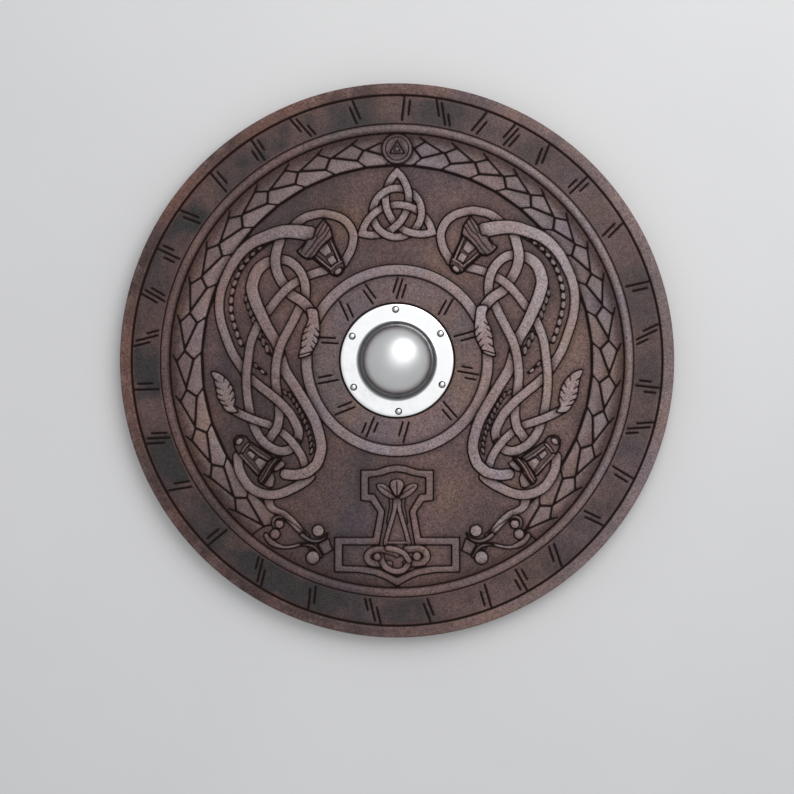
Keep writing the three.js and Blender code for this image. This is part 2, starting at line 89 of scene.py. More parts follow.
def curve(points, per=6):
    """A smooth line through the points, the Catmull-Rom cubic: between two points, a cubic whose slope at
    each is half the step between its neighbours."""
    p = np.asarray(points, float)
    p = np.vstack([2 * p[0] - p[1], p, 2 * p[-1] - p[-2]])
    t = np.linspace(0, 1, per, endpoint=False)[:, None]
    out = []
    for a, b, c, d in zip(p[:-3], p[1:-2], p[2:-1], p[3:]):
        square = 2 * a - 5 * b + 4 * c - d
        cube = 3 * b - a - 3 * c + d
        out.append(0.5 * (2 * b + (c - a) * t + square * t**2 + cube * t**3))
    return np.vstack(out + [p[-2:-1]])


def closed_curve(points, per=4):
    """The same smooth line through the points and back to the first, as an outline."""
    p = [points[-1], *points, points[0], points[1]]
    line = curve(p, per)
    return line[per:-per - 1]


def polar(radius, degrees):
    """The point at a radius and an angle, anticlockwise from +X."""
    turn = np.radians(degrees)
    return np.stack([radius * np.cos(turn), radius * np.sin(turn)], -1)


LEAN = 0.02
LEAN_LOW_Y = -60
LEAN_HIGH_Y = 90


def lean(points, side=1):
    """The points, mirrored for the left side, and leaned as the top of the carving leans: raised by a part
    of x that grows from nothing at the lower height to its full value at the upper one."""
    p = np.asarray(points, float)
    x = side * p[:, 0]
    return np.stack([x, p[:, 1] + LEAN * x * smooth(p[:, 1], LEAN_LOW_Y, LEAN_HIGH_Y)], -1)


NO_LENGTH = 1e-9


def nearest(line, x, y):
    """For each place, the distance to a line of straight stretches and the length along it to the nearest
    point. Every stretch is tried: the foot of the perpendicular, kept on it."""
    best = np.full(x.shape, np.inf)
    run = np.zeros(x.shape)
    start = 0.0
    for (x0, y0), (x1, y1) in zip(line[:-1], line[1:]):
        dx, dy = x1 - x0, y1 - y0
        length = math.hypot(dx, dy)
        if length < NO_LENGTH:
            continue
        rx, ry = x - x0, y - y0
        t = np.clip((rx * dx + ry * dy) / length**2, 0.0, 1.0)
        far = (rx - t * dx) ** 2 + (ry - t * dy) ** 2
        closer = far < best
        best = np.where(closer, far, best)
        run = np.where(closer, start + t * length, run)
        start += length
    return np.sqrt(best), run


def inside(outline, x, y):
    """True inside a closed outline, which a line from the place to the right crosses an odd number of
    times."""
    odd = np.zeros(x.shape, bool)
    for (x0, y0), (x1, y1) in zip(outline, np.roll(outline, -1, axis=0)):
        if y0 == y1:
            continue
        spans = (y0 > y) != (y1 > y)
        odd ^= spans & (x < x0 + (y - y0) * (x1 - x0) / (y1 - y0))
    return odd


def outside(outline, x, y):
    """The distance of each place outside a closed outline, negative inside it."""
    far, _ = nearest(np.vstack([outline, outline[:1]]), x, y)
    return np.where(inside(outline, x, y), -far, far)


def length_of(line):
    """The length of a line of straight stretches."""
    return float(np.hypot(*np.diff(line, axis=0).T).sum())


def waves(x, y, seed, longest, shortest, count=14):
    """A smooth uneven surface between about -1 and 1: the sum of sine waves with seeded directions and
    lengths, over the square root of their number."""
    rng = np.random.default_rng(seed)
    total = np.zeros(np.shape(x))
    for _ in range(count):
        turn = rng.uniform(0, 2 * math.pi)
        k = 2 * math.pi / math.exp(rng.uniform(math.log(shortest), math.log(longest)))
        total += np.sin(k * (x * math.cos(turn) + y * math.sin(turn)) + rng.uniform(0, 2 * math.pi))
    return total / math.sqrt(count)


# ---- the carved face ----
# Widths and reaches of cut lines and soft shading, in millimetres.
EDGE_LINE = 0.92
OUTER_LINE = 1.15
SOFT = 3.0
REACH = 8.0
SHADE_REACH = 4.5
# A shape's shoulder falls by a part of its rise, and its middle is crowned.
SHOULDER = 0.8
SHOULDER_DROP = 0.42
CROWN = 0.25
BALL_SINK = 0.4
BALL_DOME = 0.7
WEAVE_RISE = 1.1
SAME_RANK = 1e-6
# What a shape does to its surroundings, where they are a lower shape and where they are bare ground: how
# deep it cuts and hollows them, and how much painted shade it puts on them.
LINE_DEPTHS = (1.1, 0.55)
HOLLOW_DEPTHS = (0.7, 0.35)
SHADES = (0.85, 0.50)


class Face:
    """The carved face as places on rings. Shapes are laid on it first, then settled: at each place the
    shape of highest rank shows, with a cut line along its outline and a hollow beside it."""

    def __init__(self, x, y):
        self.x = x.ravel()
        self.y = y.ravel()
        self.shapes = []
        self.top = np.zeros(self.x.size)
        self.rise = np.zeros(self.x.size)
        self.cut = np.zeros(self.x.size)
        self.lit = np.zeros(self.x.size)
        self.shade = np.zeros(self.x.size)

    def near(self, points, reach):
        """The numbers of the places inside the box round the points."""
        low = np.min(points, axis=0) - reach
        high = np.max(points, axis=0) + reach
        return np.flatnonzero(
            (self.x > low[0]) & (self.x < high[0]) & (self.y > low[1]) & (self.y < high[1]))

    def lay(self, index, gap, rank=1.0, rise=STRAND_RISE, lit=1.0, line=EDGE_LINE):
        """Lays a shape: at each numbered place, gap is the distance outside its outline, negative inside.
        Rank says what covers what, rise is the height, lit the lightness, and line the half width of its
        cut line."""
        near = gap < REACH
        rank, rise, lit = (np.broadcast_to(value, gap.shape)[near] for value in (rank, rise, lit))
        self.shapes.append((index[near], gap[near], rank, rise, lit, line))

    def band(self, line, half, rank=1.0, rise=STRAND_RISE, lit=1.0, edge=EDGE_LINE):
        """Lays a band along a line. half is one half width or several, evenly spaced along the line, and
        rank may be a function of the place, which the band's height then follows."""
        index = self.near(line, REACH + np.max(half))
        x, y = self.x[index], self.y[index]
        far, run = nearest(line, x, y)
        halves = np.atleast_1d(half)
        wide = np.interp(run / length_of(line), np.linspace(0, 1, halves.size), halves)
        if callable(rank):
            rank = rank(x, y)
            rise = rise + WEAVE_RISE * (rank - 1.0)
        self.lay(index, far - wide, rank, rise, lit, edge)

    def panel(self, outline, rank=1.0, rise=STRAND_RISE, lit=1.0, edge=EDGE_LINE, hole=None):
        """Lays a flat shape inside a closed outline, less a hole. lit may be a function of the place."""
        index = self.near(outline, REACH)
        x, y = self.x[index], self.y[index]
        gap = outside(outline, x, y)
        if hole is not None:
            gap = np.maximum(gap, -outside(hole, x, y))
        self.lay(index, gap, rank, rise, lit(x, y) if callable(lit) else lit, edge)

    def ball(self, centre, radius, rank, rise, lit, edge=EDGE_LINE, stretch=1.0, turn=0.0):
        """Lays a disc, or an oval that is stretched along a turned axis, domed like a button."""
        index = self.near([centre], radius * max(1.0, stretch) + REACH)
        x, y = self.x[index] - centre[0], self.y[index] - centre[1]
        c, s = math.cos(math.radians(turn)), math.sin(math.radians(turn))
        far = np.hypot((x * c + y * s) / stretch, y * c - x * s)
        dome = BALL_DOME * np.sqrt(np.clip(1.0 - (far / radius) ** 2, 0.0, 1.0))
        self.lay(index, far - radius, rank, rise - BALL_SINK + dome, lit, edge)

    def settle(self):
        """Finds what shows at each place. First the shape of highest rank is kept, with rounded shoulders
        and the inner half of its cut line. Then every shape hollows what is lower beside it, darkens it
        with its cut line and paints shade on it."""
        for index, gap, rank, rise, lit, line in self.shapes:
            wins = (gap < 0) & (rank > self.top[index])
            at, d = index[wins], gap[wins]
            self.top[at] = rank[wins]
            shoulder = np.exp(d / SHOULDER)
            self.rise[at] = rise[wins] * (1 - SHOULDER_DROP * shoulder) + CROWN * (1 - np.exp(d / SOFT))
            self.lit[at] = lit[wins]
            self.cut[at] = np.exp(-(d / line) ** 2)
        sunk = np.zeros(self.x.size)
        for index, gap, rank, _, _, line in self.shapes:
            beside = (gap >= 0) & (rank > self.top[index] + SAME_RANK)
            at, d = index[beside], gap[beside]
            over = self.top[at] > 0.0
            cut = np.exp(-(d / (line * OUTER_LINE)) ** 2)
            depth = np.where(over, *LINE_DEPTHS) * cut + np.where(over, *HOLLOW_DEPTHS) * np.exp(-d / SOFT)
            # The painted shade that a higher shape puts on what lies beside and under it.
            shade = np.where(over, *SHADES) * np.exp(-(d / SHADE_REACH) ** 2)
            sunk[at] = np.maximum(sunk[at], depth)
            self.cut[at] = np.maximum(self.cut[at], cut)
            self.shade[at] = np.maximum(self.shade[at], shade)
        self.rise -= sunk

    def score(self, index, far, half, depth, only=None, dark=1.0):
        """Cuts a groove: its depth times exp(-(far / half)^2), kept to the places where only is 1."""
        mark = np.exp(-(far / half) ** 2)
        if only is not None:
            mark = mark * only[index]
        self.rise[index] -= depth * mark
        self.cut[index] = np.maximum(self.cut[index], dark * mark)

    def groove(self, line, half, depth, only=None, dark=1.0):
        """Cuts a groove along a line, once the shapes are settled."""
        index = self.near(line, 4 * half)
        far, _ = nearest(line, self.x[index], self.y[index])
        self.score(index, far, half, depth, only, dark)

    def ring(self, radius, half, depth, only=None):
        """Cuts a groove round a circle about the centre, once the shapes are settled."""
        self.score(slice(None), np.hypot(self.x, self.y) - radius, half, depth, only)


# ---- the gripping beasts: the centre lines of one beast's bands, on the right, and their half widths ----
STRANDS = {
    "body": ((8.3, 7.4, 6.6, 5.8, 5.3, 5.2, 5.2, 5.2, 5.2), (
        (94, 139), (110, 141.5), (126, 141.5), (141, 137), (155.5, 131), (168, 121), (177.5, 108.5),
        (185, 94), (190.5, 79), (192.5, 63), (191, 47.5), (187, 33), (179, 11.5), (171.5, -1.5),
        (163, -15))),
    "loop_left": (5.2, (
        (163, -15), (151, -25.5), (138.5, -35.5), (126, -46), (115.5, -58), (108, -72), (106.5, -80),
        (109.5, -90))),
    "loop_right": (5.2, (
        (109.5, -90), (116.5, -96.5), (127.5, -98), (141.5, -91), (151, -79.5), (157.5, -64))),
    "rein": (5.0, (
        (157.5, -64), (160.5, -49), (162.5, -33), (163, -17), (161.5, -1), (158, 22), (148, 45.5),
        (139.5, 56), (130, 68.5), (119, 80), (106, 89), (91, 95.5), (76, 99.5))),
    "foreleg": (5.8, (
        (126.5, 133.5), (129, 125.5), (131.5, 114.5), (131, 103.5), (127.5, 93), (121.5, 83), (115.5, 74),
        (102.5, 65.5), (93.5, 55), (90, 46))),
    "bow": ((5.2, 5.2, 5.2, 5.6, 6.4, 6.8, 6.8, 6.5, 6.2, 6.0), (
        (99.5, 68), (99, 76), (99.5, 84), (101.5, 91.5), (105, 98.5), (110, 104.5), (116, 109),
        (124, 111.5), (139, 109.5), (151, 100.5), (156.5, 86), (156.5, 78), (152, 63), (145.5, 48.5),
        (139, 35), (131, 21.5), (127, 9))),
    "neck": (6.0, (
        (127, 9), (121.5, -9.5), (109, -30), (97, -50), (89.5, -64), (84.5, -79), (82, -95), (86, -110),
        (91, -116), (97.5, -121), (105, -123), (113, -124), (121, -123))),
    "thigh": (5.2, (
        (99.5, 68), (105, 60), (111, 47.5), (118, 34), (125, 20), (129.5, 5), (131.5, -11), (131, -27),
        (128, -48))),
    "shin": (5.2, ((128, -48), (127.5, -60), (130, -73), (135, -80), (139, -87))),
    "tail": (4.7, (
        (181, -51.5), (179, -53), (165, -60), (151, -65.5), (138, -70), (125, -77.5), (112, -90),
        (103, -104), (100, -113))),
    "under_arc": (5.4, (
        (94, -126), (100, -131), (112, -138), (128, -144.5), (144, -144.5), (158, -138), (166, -128),
        (171, -117), (172.5, -104))),
    "over_arc": (4.9, (
        (114.5, 146), (105, 153.5), (99, 157), (92, 159), (82, 160.7), (72.5, 159.3), (62, 156), (53, 149),
        (47.5, 138), (47.7, 129), (50.5, 119.3), (55, 111.5), (58, 106))),
}
WEAVE_LEVEL = 0.5
WEAVE_REACH = 12.0
# Where one band crosses another: the place, the band on top and the bands below.
CROSSINGS = (
    ((163, -15), "rein", ("body", "loop_left")),
    ((128, -45), "loop_left", ("thigh", "shin")),
    ((110, -90), "tail", ("loop_left", "loop_right")),
    ((157, -63), "tail", ("loop_right", "rein")),
    ((131, -72), "shin", ("tail",)),
    ((139, -87), "loop_right", ("shin",)),
    ((143, 51), "bow", ("rein",)),
    ((119, 80), "rein", ("foreleg",)),
    ((101, 92), "bow", ("rein",)),
    ((131, 111), "foreleg", ("bow",)),
    ((127, 137), "body", ("foreleg",)),
    ((113, 147), "body", ("over_arc",)),
    ((100, 66), "foreleg", ("bow", "thigh")),
    ((127, 13), "thigh", ("bow", "neck")),
    ((101, -112), "neck", ("tail",)),
    ((94, -126), "neck", ("under_arc",)),
)


def weave(name, side):
    """How high a band stands at a place: 1, and a bell-shaped half more where it crosses over and half less
    where it dips under."""
    def rank(x, y):
        """1 with a bell of WEAVE_LEVEL added or taken off at each crossing of this band."""
        level = np.ones(x.shape)
        for at, over, under in CROSSINGS:
            sign = (over == name) - (name in under)
            if sign:
                (cx, cy), = lean([at], side)
                level += WEAVE_LEVEL * sign * np.exp(-((x - cx) ** 2 + (y - cy) ** 2) / WEAVE_REACH**2)
        return level
    return rank


# A leaf is an outline with nicks cut in from both edges, each nick a start and an end.
FORE_LEAF = (
    (87, 57), (84.5, 45), (83.5, 34), (84.8, 23.5), (89, 15), (94, 7), (106.5, 3.5), (104.5, 14),
    (103.8, 22), (102.5, 30), (99, 39), (96.2, 47), (98, 57))
FORE_LEAF_NICKS = (
    ((88, 36), (84.5, 31)), ((90, 29), (85, 23.5)), ((91.5, 22.5), (87, 17.5)), ((93.5, 16.5), (90, 11.5)),
    ((94, 40.5), (98, 36.5)), ((96.5, 33), (102, 29)), ((98, 25), (103.5, 21.5)), ((99, 17), (104, 13.5)))
TAIL_LEAF = (
    (172.5, -56), (176.5, -49), (174.8, -43), (176.8, -31.6), (181, -23), (187, -16.5), (194, -12),
    (201.5, -11.5), (198.3, -20), (196, -32), (195, -39), (191, -46.5), (184, -55.5))
TAIL_LEAF_NICKS = (
    ((187, -17.5), (187.5, -23)), ((180.8, -24.5), (183, -30)), ((178, -31.5), (181, -36.5)),
    ((176.8, -39.5), (179.5, -44)), ((198.5, -19), (193.5, -22.5)), ((196.5, -28), (191, -31)),
    ((195.5, -35), (189.5, -38)), ((193.5, -41.5), (186.5, -44.5)), ((189, -48), (183, -49.5)))
BEADS = (
    (138.5, 131), (150, 123.5), (161, 113.5), (169, 103), (174.5, 91.5), (178, 80), (179.8, 69), (180, 58),
    (178, 47.5), (175.5, 37.5), (172, 27), (168.5, 18.5))
LOW_BEADS = ((155.5, -2.5), (150, -8), (143.5, -13.5))
ROPE = (
    (163.5, 75), (162.5, 67), (159, 57), (155.5, 46), (151, 35), (146, 24), (141, 14.5), (137, 7))
SPINE = (
    (124.5, -33.5), (117, -37), (111, -45), (105, -55), (100.5, -65), (96.5, -76), (93.5, -88), (92.5, -99))


LEAF_LOOK = (1.8, STRAND_RISE + 0.35, 1.15)
# An oval of a row: its rank, then its rise, lightness and line. Beads and ropes differ in how far the ovals
# are stretched and slanted. A row of beads stops short of its line's ends, its beads grow up to a part of
# its length, and its bed is shifted. A rope's ovals fill a part of its width, each over the last.
OVAL_RANK = 0.8
OVAL_LOOK = (1.6, 0.95, 0.6)
BEAD_STRETCH = 1.8
BEAD_SLANT = 8
BEAD_PITCH = 9.4
BEAD_END = 3
BEAD_GROWS_TO = 0.4
BED_SHIFT = (-1.3, -0.6)
ROPE_STRETCH = 2.3
ROPE_SLANT = 22
ROPE_FILL = 0.85
ROPE_LAY = 0.0001


def leaf(face, outline, nicks, side):
    """A leaf laid over what it crosses, with thin nicks cut slanting in from its edges."""
    face.panel(lean(closed_curve(outline, 3), side), *LEAF_LOOK)
    return [lean(nick, side) for nick in nicks]


def measured(points, side):
    """A smooth line through the points, on its side of the board, and how far along it each corner is."""
    line = lean(curve(points, 4), side)
    return line, np.concatenate([[0.0], np.cumsum(np.hypot(*np.diff(line, axis=0).T))])


def oval_on(face, line, at, s, radius, rank, stretch, slant):
    """An oval at the distance s along a line, turned by the slant from the way that the line goes there."""
    x, y = np.interp(s, at, line[:, 0]), np.interp(s, at, line[:, 1])
    ahead = np.interp(s + 1, at, line[:, 0]) - x, np.interp(s + 1, at, line[:, 1]) - y
    turn = math.degrees(math.atan2(ahead[1], ahead[0])) + slant
    face.ball((x, y), radius, rank, *OVAL_LOOK, stretch, turn)


def beads(face, points, side, size=(1.8, 2.6)):
    """A row of ovals along a line, growing from the first size to the second. Gives back its dark bed."""
    line, at = measured(points, side)
    count = int(round((at[-1] - 2 * BEAD_END) / BEAD_PITCH)) + 1
    for s in np.linspace(BEAD_END, at[-1] - BEAD_END, count):
        radius = np.interp(s, (0, at[-1] * BEAD_GROWS_TO), size)
        oval_on(face, line, at, s, radius, OVAL_RANK, BEAD_STRETCH, BEAD_SLANT * side)
    across, up = BED_SHIFT
    return [line + (across * side, up)]


def rope(face, points, side, half=2.8, pitch=8.5):
    """A laid rope: slanting ovals along a line, each just over the last. Gives back its dark bed."""
    line, at = measured(points, side)
    for s in np.arange(pitch / 2, at[-1], pitch):
        rank = OVAL_RANK + ROPE_LAY * s
        oval_on(face, line, at, s, half * ROPE_FILL, rank, ROPE_STRETCH, ROPE_SLANT * side)
    return [line]


# ---- the beasts' heads: the muzzle, its light panels and bars, the brow and its ribs ----
UPPER_HEAD = {
    "muzzle": (
        (57.5, 105.5), (57.2, 100), (60.3, 94.8), (65, 92.2), (70, 93.7), (74, 97.5), (91.5, 112.5),
        (86, 122), (76.5, 131), (70, 136), (68.2, 127.5), (64.6, 121)),
    "panels": (
        ((64.6, 108.3), (69.2, 116), (76.5, 111.2), (71.3, 103.7)),
        ((70.5, 118.7), (75.4, 129), (85.8, 120.6), (77.5, 113.4))),
    "bars": (
        ((62.6, 109), (67, 119.5), (72.3, 131.5)),
        ((72.5, 101.2), (80.5, 107.5), (89, 115)),
        ((60, 108), (66.5, 104.6), (72, 99.5))),
    "snout": ((63.6, 97.6), 2.9, 1.75, -42),
    "brow": (
        (79.3, 154.6), (83.8, 149.5), (88, 143.6), (90, 136), (91.6, 133.3), (96.7, 132.6), (101.4, 127.8),
        (105, 123.2), (108.5, 120.5), (104, 115.4), (97.3, 111.4), (93, 112), (89, 114.6), (84.8, 121),
        (76, 130.2), (71.9, 133.4), (69.8, 135.4), (71.8, 144.5)),
    "ribs": (
        ((73, 143), (78.5, 134), (84.5, 128), (91, 119), (96.5, 112.5)),
        ((74.5, 149), (80, 139), (87, 133), (91.5, 126), (100, 116)),
        ((78.3, 151), (83.5, 142), (87.5, 135.5)),
        ((98, 129), (101.5, 124), (103.5, 119.5))),
}
LOWER_HEAD = {
    "muzzle": (
        (159, -88), (163, -83), (168, -81.2), (173.4, -82), (176.8, -86.5), (176.2, -93), (174, -97.5),
        (171.8, -101), (152, -124.5), (146.5, -121.5), (139.3, -110), (134.3, -105)),
    "panels": (
        ((152.5, -102.5), (160, -96.6), (162.8, -101), (156.2, -107.8)),
        ((140, -110.2), (150.2, -104.8), (154.6, -109.2), (147.4, -120.4))),
    "bars": (
        ((138.5, -108), (150, -101), (159.5, -93.5)),
        ((150, -123.2), (159.5, -113), (169.5, -102)),
        ((161, -90.4), (165, -94.8), (167.5, -98.8))),
    "snout": ((170.6, -87.6), 3.1, 1.5, -42),
    "brow": (
        (125.3, -105.2), (134.8, -117.4), (137, -123), (145.2, -134.6), (149, -132.5), (151, -129.3),
        (147, -121.8), (139.2, -109.6), (132.6, -105)),
    "ribs": (
        ((129, -106.5), (137, -117.5), (142, -127), (147.2, -133)),
        ((132, -106), (139, -114), (145, -125), (149.2, -131))),
    "ears": (
        ((120.3, -111.5), (125.3, -107.8), (134.8, -116.6), (132.6, -120.4), (129, -119.6), (122.6, -115)),
        ((134.4, -120.8), (132, -128), (133.8, -136.6), (138.2, -137.8), (143.6, -135.6), (145, -134),
         (137.6, -121.4))),
}


# How the parts of a head are laid: rank, rise, lightness and the half width of the cut line round each.
MUZZLE_LOOK = (2.0, STRAND_RISE + 0.1, 0.3, 1.2)
PANEL_LOOK = (2.3, STRAND_RISE + 0.9, 1.0, 0.7)
BAR_HALF = 1.5
BAR_LOOK = (2.3, STRAND_RISE + 0.8, 0.6, 0.7)
SNOUT_LOOK = (2.3, STRAND_RISE + 1.0, 1.2, 0.7)
EAR_LOOK = (2.5, STRAND_RISE + 0.9, 0.75, 0.8)
BROW_LOOK = (2.6, STRAND_RISE + 1.2, 0.16, 1.1)


def head(face, parts, side):
    """A beast's head: a low muzzle with light panels, bars and a snout on it, and a ribbed brow."""
    face.panel(lean(parts["muzzle"], side), *MUZZLE_LOOK)
    for outline in parts["panels"]:
        face.panel(lean(outline, side), *PANEL_LOOK)
    for line in parts["bars"]:
        face.band(lean(curve(line, 3), side), BAR_HALF, *BAR_LOOK)
    centre, radius, stretch, turn = parts["snout"]
    (x, y), = lean([centre], side)
    face.ball((x, y), radius, *SNOUT_LOOK, stretch, side * turn)
    for outline in parts.get("ears", ()):
        face.panel(lean(outline, side), *EAR_LOOK)
    face.panel(lean(parts["brow"], side), *BROW_LOOK)
    return [lean(curve(rib, 3), side) for rib in parts["ribs"]]


LOW_BEAD_SIZE = (2.0, 2.0)
SPINE_HALF = 2.2
SPINE_PITCH = 6.5


def beast(face, side):
    """One beast: its bands, leaves, beads and rope and its two heads. Gives back the fine cuts and the
    beds of the beads and ropes, which are made once everything is laid."""
    for name, (half, points) in STRANDS.items():
        face.band(lean(curve(points), side), half, weave(name, side))
    cuts = leaf(face, FORE_LEAF, FORE_LEAF_NICKS, side)
    cuts += leaf(face, TAIL_LEAF, TAIL_LEAF_NICKS, side)
    beds = beads(face, BEADS, side) + beads(face, LOW_BEADS, side, LOW_BEAD_SIZE)
    beds += rope(face, ROPE, side) + rope(face, SPINE, side, SPINE_HALF, SPINE_PITCH)
    cuts += head(face, UPPER_HEAD, side)
    cuts += head(face, LOWER_HEAD, side)
    return cuts, beds


# ---- the serpents: a band of scales from the badge down to a head on each side of the hammer ----
TIP_R = 239.0
KNEE_R = 230.2
HEEL_R = 219.8
KNEE_TURN = 3.0
HEEL_TURN = 0.6
TICK_TURN = 1.7
TICK_LENGTH = 3.6
FRINGE_TURN = 4
# Each side's lattice: the first diamond's angle, the pitch, how much it grows, and the number of diamonds.
LATTICES = {1: (82.6, 8.35, 0.06, 16), -1: (78.1, 9.2, 0.075, 14)}
# How the diamonds are laid: rank, rise, lightness and line. The cells and the fringe share their rank.
DIAMOND_LOOK = (0.6, 1.9, 0.45, 2.0)
CELL_RISE = 1.6
CELL_LINE = 1.2
FRINGE_RISE = 0.9
FRINGE_LINE = 0.9


def cell_light(x, y):
    """The lightness of the inner cells: most towards the band's inner edge, less towards the diamonds as
    painted shade, and less to the right.
    """
    base = 0.74 + (0.08 * y - 0.36 * x) / SCALES_IN_R
    return base - 0.50 * smooth(np.hypot(x, y), SCALES_IN_R + 3, KNEE_R + 1)


def fringe_light(x, y):
    """The lightness outside the diamonds: some near them, and none towards the moulding, as painted shade
    in the hollow there.
    """
    return 0.40 - 0.42 * smooth(np.hypot(x, y), KNEE_R + 1, TIP_R + 4)


def scales(face, side):
    """One serpent's scales: a lattice of thick cuts. The k-th diamond stands at the angle first - pitch k -
    more k^2, over an inner cell. Outside them a fringe fills the zigzag up to the moulding. Gives back the
    short ticks that stand on the diamonds' tips."""
    first, pitch, more, count = LATTICES[side]
    k = np.arange(-1, count)
    at = first - pitch * k - more * k ** 2
    rank = DIAMOND_LOOK[0]

    def placed(corners):
        """Corners of an angle and a radius, on this serpent's side."""
        return np.array([polar(r, turn) for turn, r in corners]) * (side, 1)
    outer = np.linspace(at[-1] + FRINGE_TURN, at[0] + FRINGE_TURN, 60)
    fringe = [(a, MOULD_IN_R - 0.2) for a in outer] + [(at[0] + KNEE_TURN, KNEE_R)]
    for a, b in zip(at, at[1:]):
        heel, next_knee = (a + HEEL_TURN, HEEL_R), (b + KNEE_TURN, KNEE_R)
        diamond = ((a, TIP_R), next_knee, heel, (a + KNEE_TURN, KNEE_R))
        cell = [heel, next_knee, (b + HEEL_TURN, HEEL_R)]
        cell += [(turn + KNEE_TURN, SCALES_IN_R - 1) for turn in (b, a)]
        face.panel(placed(diamond), *DIAMOND_LOOK)
        face.panel(placed(cell), rank, CELL_RISE, cell_light, CELL_LINE)
        fringe += [(a, TIP_R), next_knee]
    face.panel(placed(fringe), rank, FRINGE_RISE, fringe_light, FRINGE_LINE)
    return [placed(((a + TICK_TURN, TIP_R + TICK_LENGTH), (a, TIP_R))) for a in at[:-1]]


UPPER_JAW = (
    (133.2, -145), (133.3, -151.8), (132.6, -156.4), (128, -159.7), (120, -163), (112.3, -169.5),
    (105.7, -176.7), (100.5, -183.3), (95, -188.4), (95.3, -194.4), (102.5, -192.5), (105.7, -188.5),
    (111, -183), (116.2, -177.4), (121.5, -173.5), (127.4, -168.2), (133.3, -165.6), (137.2, -163.6),
    (141, -159.7), (144.5, -152), (145, -145))
LOWER_JAW = (
    (92.5, -203.8), (96.5, -198.6), (104.4, -197.2), (109.7, -198.7), (119.5, -200.4), (126.7, -198.6),
    (135.9, -192.6), (141.5, -186), (144.6, -190), (141, -196.5), (136, -200.8), (129.3, -203.4),
    (119.5, -204), (111, -202.6), (103, -200.9), (97.5, -201.6), (93.5, -206.5))
SERPENT_LIP = ((127.5, -173), (122.5, -171.5), (117.5, -173), (111, -177.5), (103, -184), (98, -188.5))
# Thin bands, each a line, its half widths and its lightness: a curl at the cheek, and lips round the studs.
SERPENT_CURLS = (
    (((122, -173), (126.5, -169.3), (132.5, -171), (134.3, -176.5), (132, -181.5)), (1.2, 1.9, 1.6), 0.85),
    (((103, -189), (95, -194.3), (87, -195.6), (79.5, -193), (75.5, -187.5)), (2.4, 1.9, 0.9), 0.3),
    (((103.5, -199.6), (93, -200.3), (86.5, -205), (82, -212.3)), (1.0, 1.9, 1.5), 0.3))
SERPENT_CHEEK = (
    (141, -151), (158.5, -149.5), (154, -163), (143, -176), (138.5, -178.5), (133.5, -168), (139, -160))
# Round studs, each its middle, its radius and its lightness.
SERPENT_STUDS = (
    ((85.4, -184.3), 6.6, 1.0), ((91.2, -213.4), 7.4, 0.8), ((127.3, -177), 5.0, 0.75),
    ((132, -187.9), 5.6, 0.6))
SERPENT_TOOTH = ((74.3, -192.5), (86, -199), (79.5, -210.5), (69.8, -205.5))
# How the parts of a serpent's head are laid: rank, rise and, where a part has but one, lightness and line.
CHEEK_LOOK = (0.55, 1.4, 0.35, 1.1)
UPPER_JAW_LOOK = (0.9, STRAND_RISE, 0.95)
LOWER_JAW_LOOK = (0.9, STRAND_RISE, 0.85)
TOOTH_LOOK = (0.8, 1.6, 0.3)
CURL_LOOK = (0.92, STRAND_RISE - 0.2)
STUD_LOOK = (0.95, STRAND_RISE + 0.4)


def serpent_head(face, side):
    """One serpent's head: two jaws, curls, a cheek, round studs at nose and chin, and a square tooth."""
    face.panel(lean(SERPENT_CHEEK, side), *CHEEK_LOOK)
    face.panel(lean(closed_curve(UPPER_JAW, 3), side), *UPPER_JAW_LOOK)
    face.panel(lean(closed_curve(LOWER_JAW, 3), side), *LOWER_JAW_LOOK)
    face.panel(lean(SERPENT_TOOTH, side), *TOOTH_LOOK)
    for line, half, lit in SERPENT_CURLS:
        face.band(lean(curve(line, 3), side), half, *CURL_LOOK, lit)
    for centre, radius, lit in SERPENT_STUDS:
        (x, y), = lean([centre], side)
        face.ball((x, y), radius, *STUD_LOOK, lit)
    return [lean(curve(SERPENT_LIP, 3), side)]


# ---- the three-cornered knot, its ring, and the badge ----
KNOT_Y = 160.0
KNOT_ARC_R = 39.0
KNOT_ARC_OUT = 30.5
KNOT_HALF = 4.3
KNOT_RING_R = 26.5
KNOT_CORNERS_AWAY = (150, 30, 270)
# How high an arc stands at some angles about its circle's centre, and how much of that shows as height.
KNOT_TURNS = (-60.0, -42.7, -17.4, 17.4, 42.7, 60.0)
KNOT_LEVELS = (1.0, 0.6, 1.4, 0.6, 1.4, 1.0)
KNOT_WEAVE_RISE = 0.4


def triangle_knot(face):
    """Three arcs that meet in sharp corners, woven with each other and with a ring. An arc's gap is its
    distance from a circle less its half width, and it goes over and under by its angle about the centre."""
    reach = KNOT_ARC_R + 12
    index = face.near([(-reach, KNOT_Y - reach), (reach, KNOT_Y + reach)], 2)
    x, y = face.x[index], face.y[index] - LEAN * face.x[index] - KNOT_Y
    about = np.degrees(np.arctan2(y, x))
    face.lay(index, np.abs(np.hypot(x, y) - KNOT_RING_R) - KNOT_HALF, 1.0)
    for away in KNOT_CORNERS_AWAY:
        cx, cy = polar(KNOT_ARC_OUT, away)
        mine = np.abs((about - away + 180) % 360 - 180) > 60
        turn = (np.degrees(np.arctan2(y - cy, x - cx)) - away) % 360 - 180
        level = np.interp(turn, KNOT_TURNS, KNOT_LEVELS)
        gap = np.abs(np.hypot(x - cx, y - cy) - KNOT_ARC_R) - KNOT_HALF
        face.lay(index[mine], gap[mine], level[mine], STRAND_RISE + KNOT_WEAVE_RISE * (level[mine] - 1))


BADGE_Y = 229.0
BADGE_R = 16.5
BADGE_RING_R = 12.6
BADGE_LOOK = (1.2, STRAND_RISE + 0.4, 0.35)
TRIANGLE_Y = 228.5
TRIANGLE_R = 9.0
TRIANGLE_IN_R = 4.2
TRIANGLE_LOOK = (1.4, STRAND_RISE + 1.1, 0.5, 0.9)


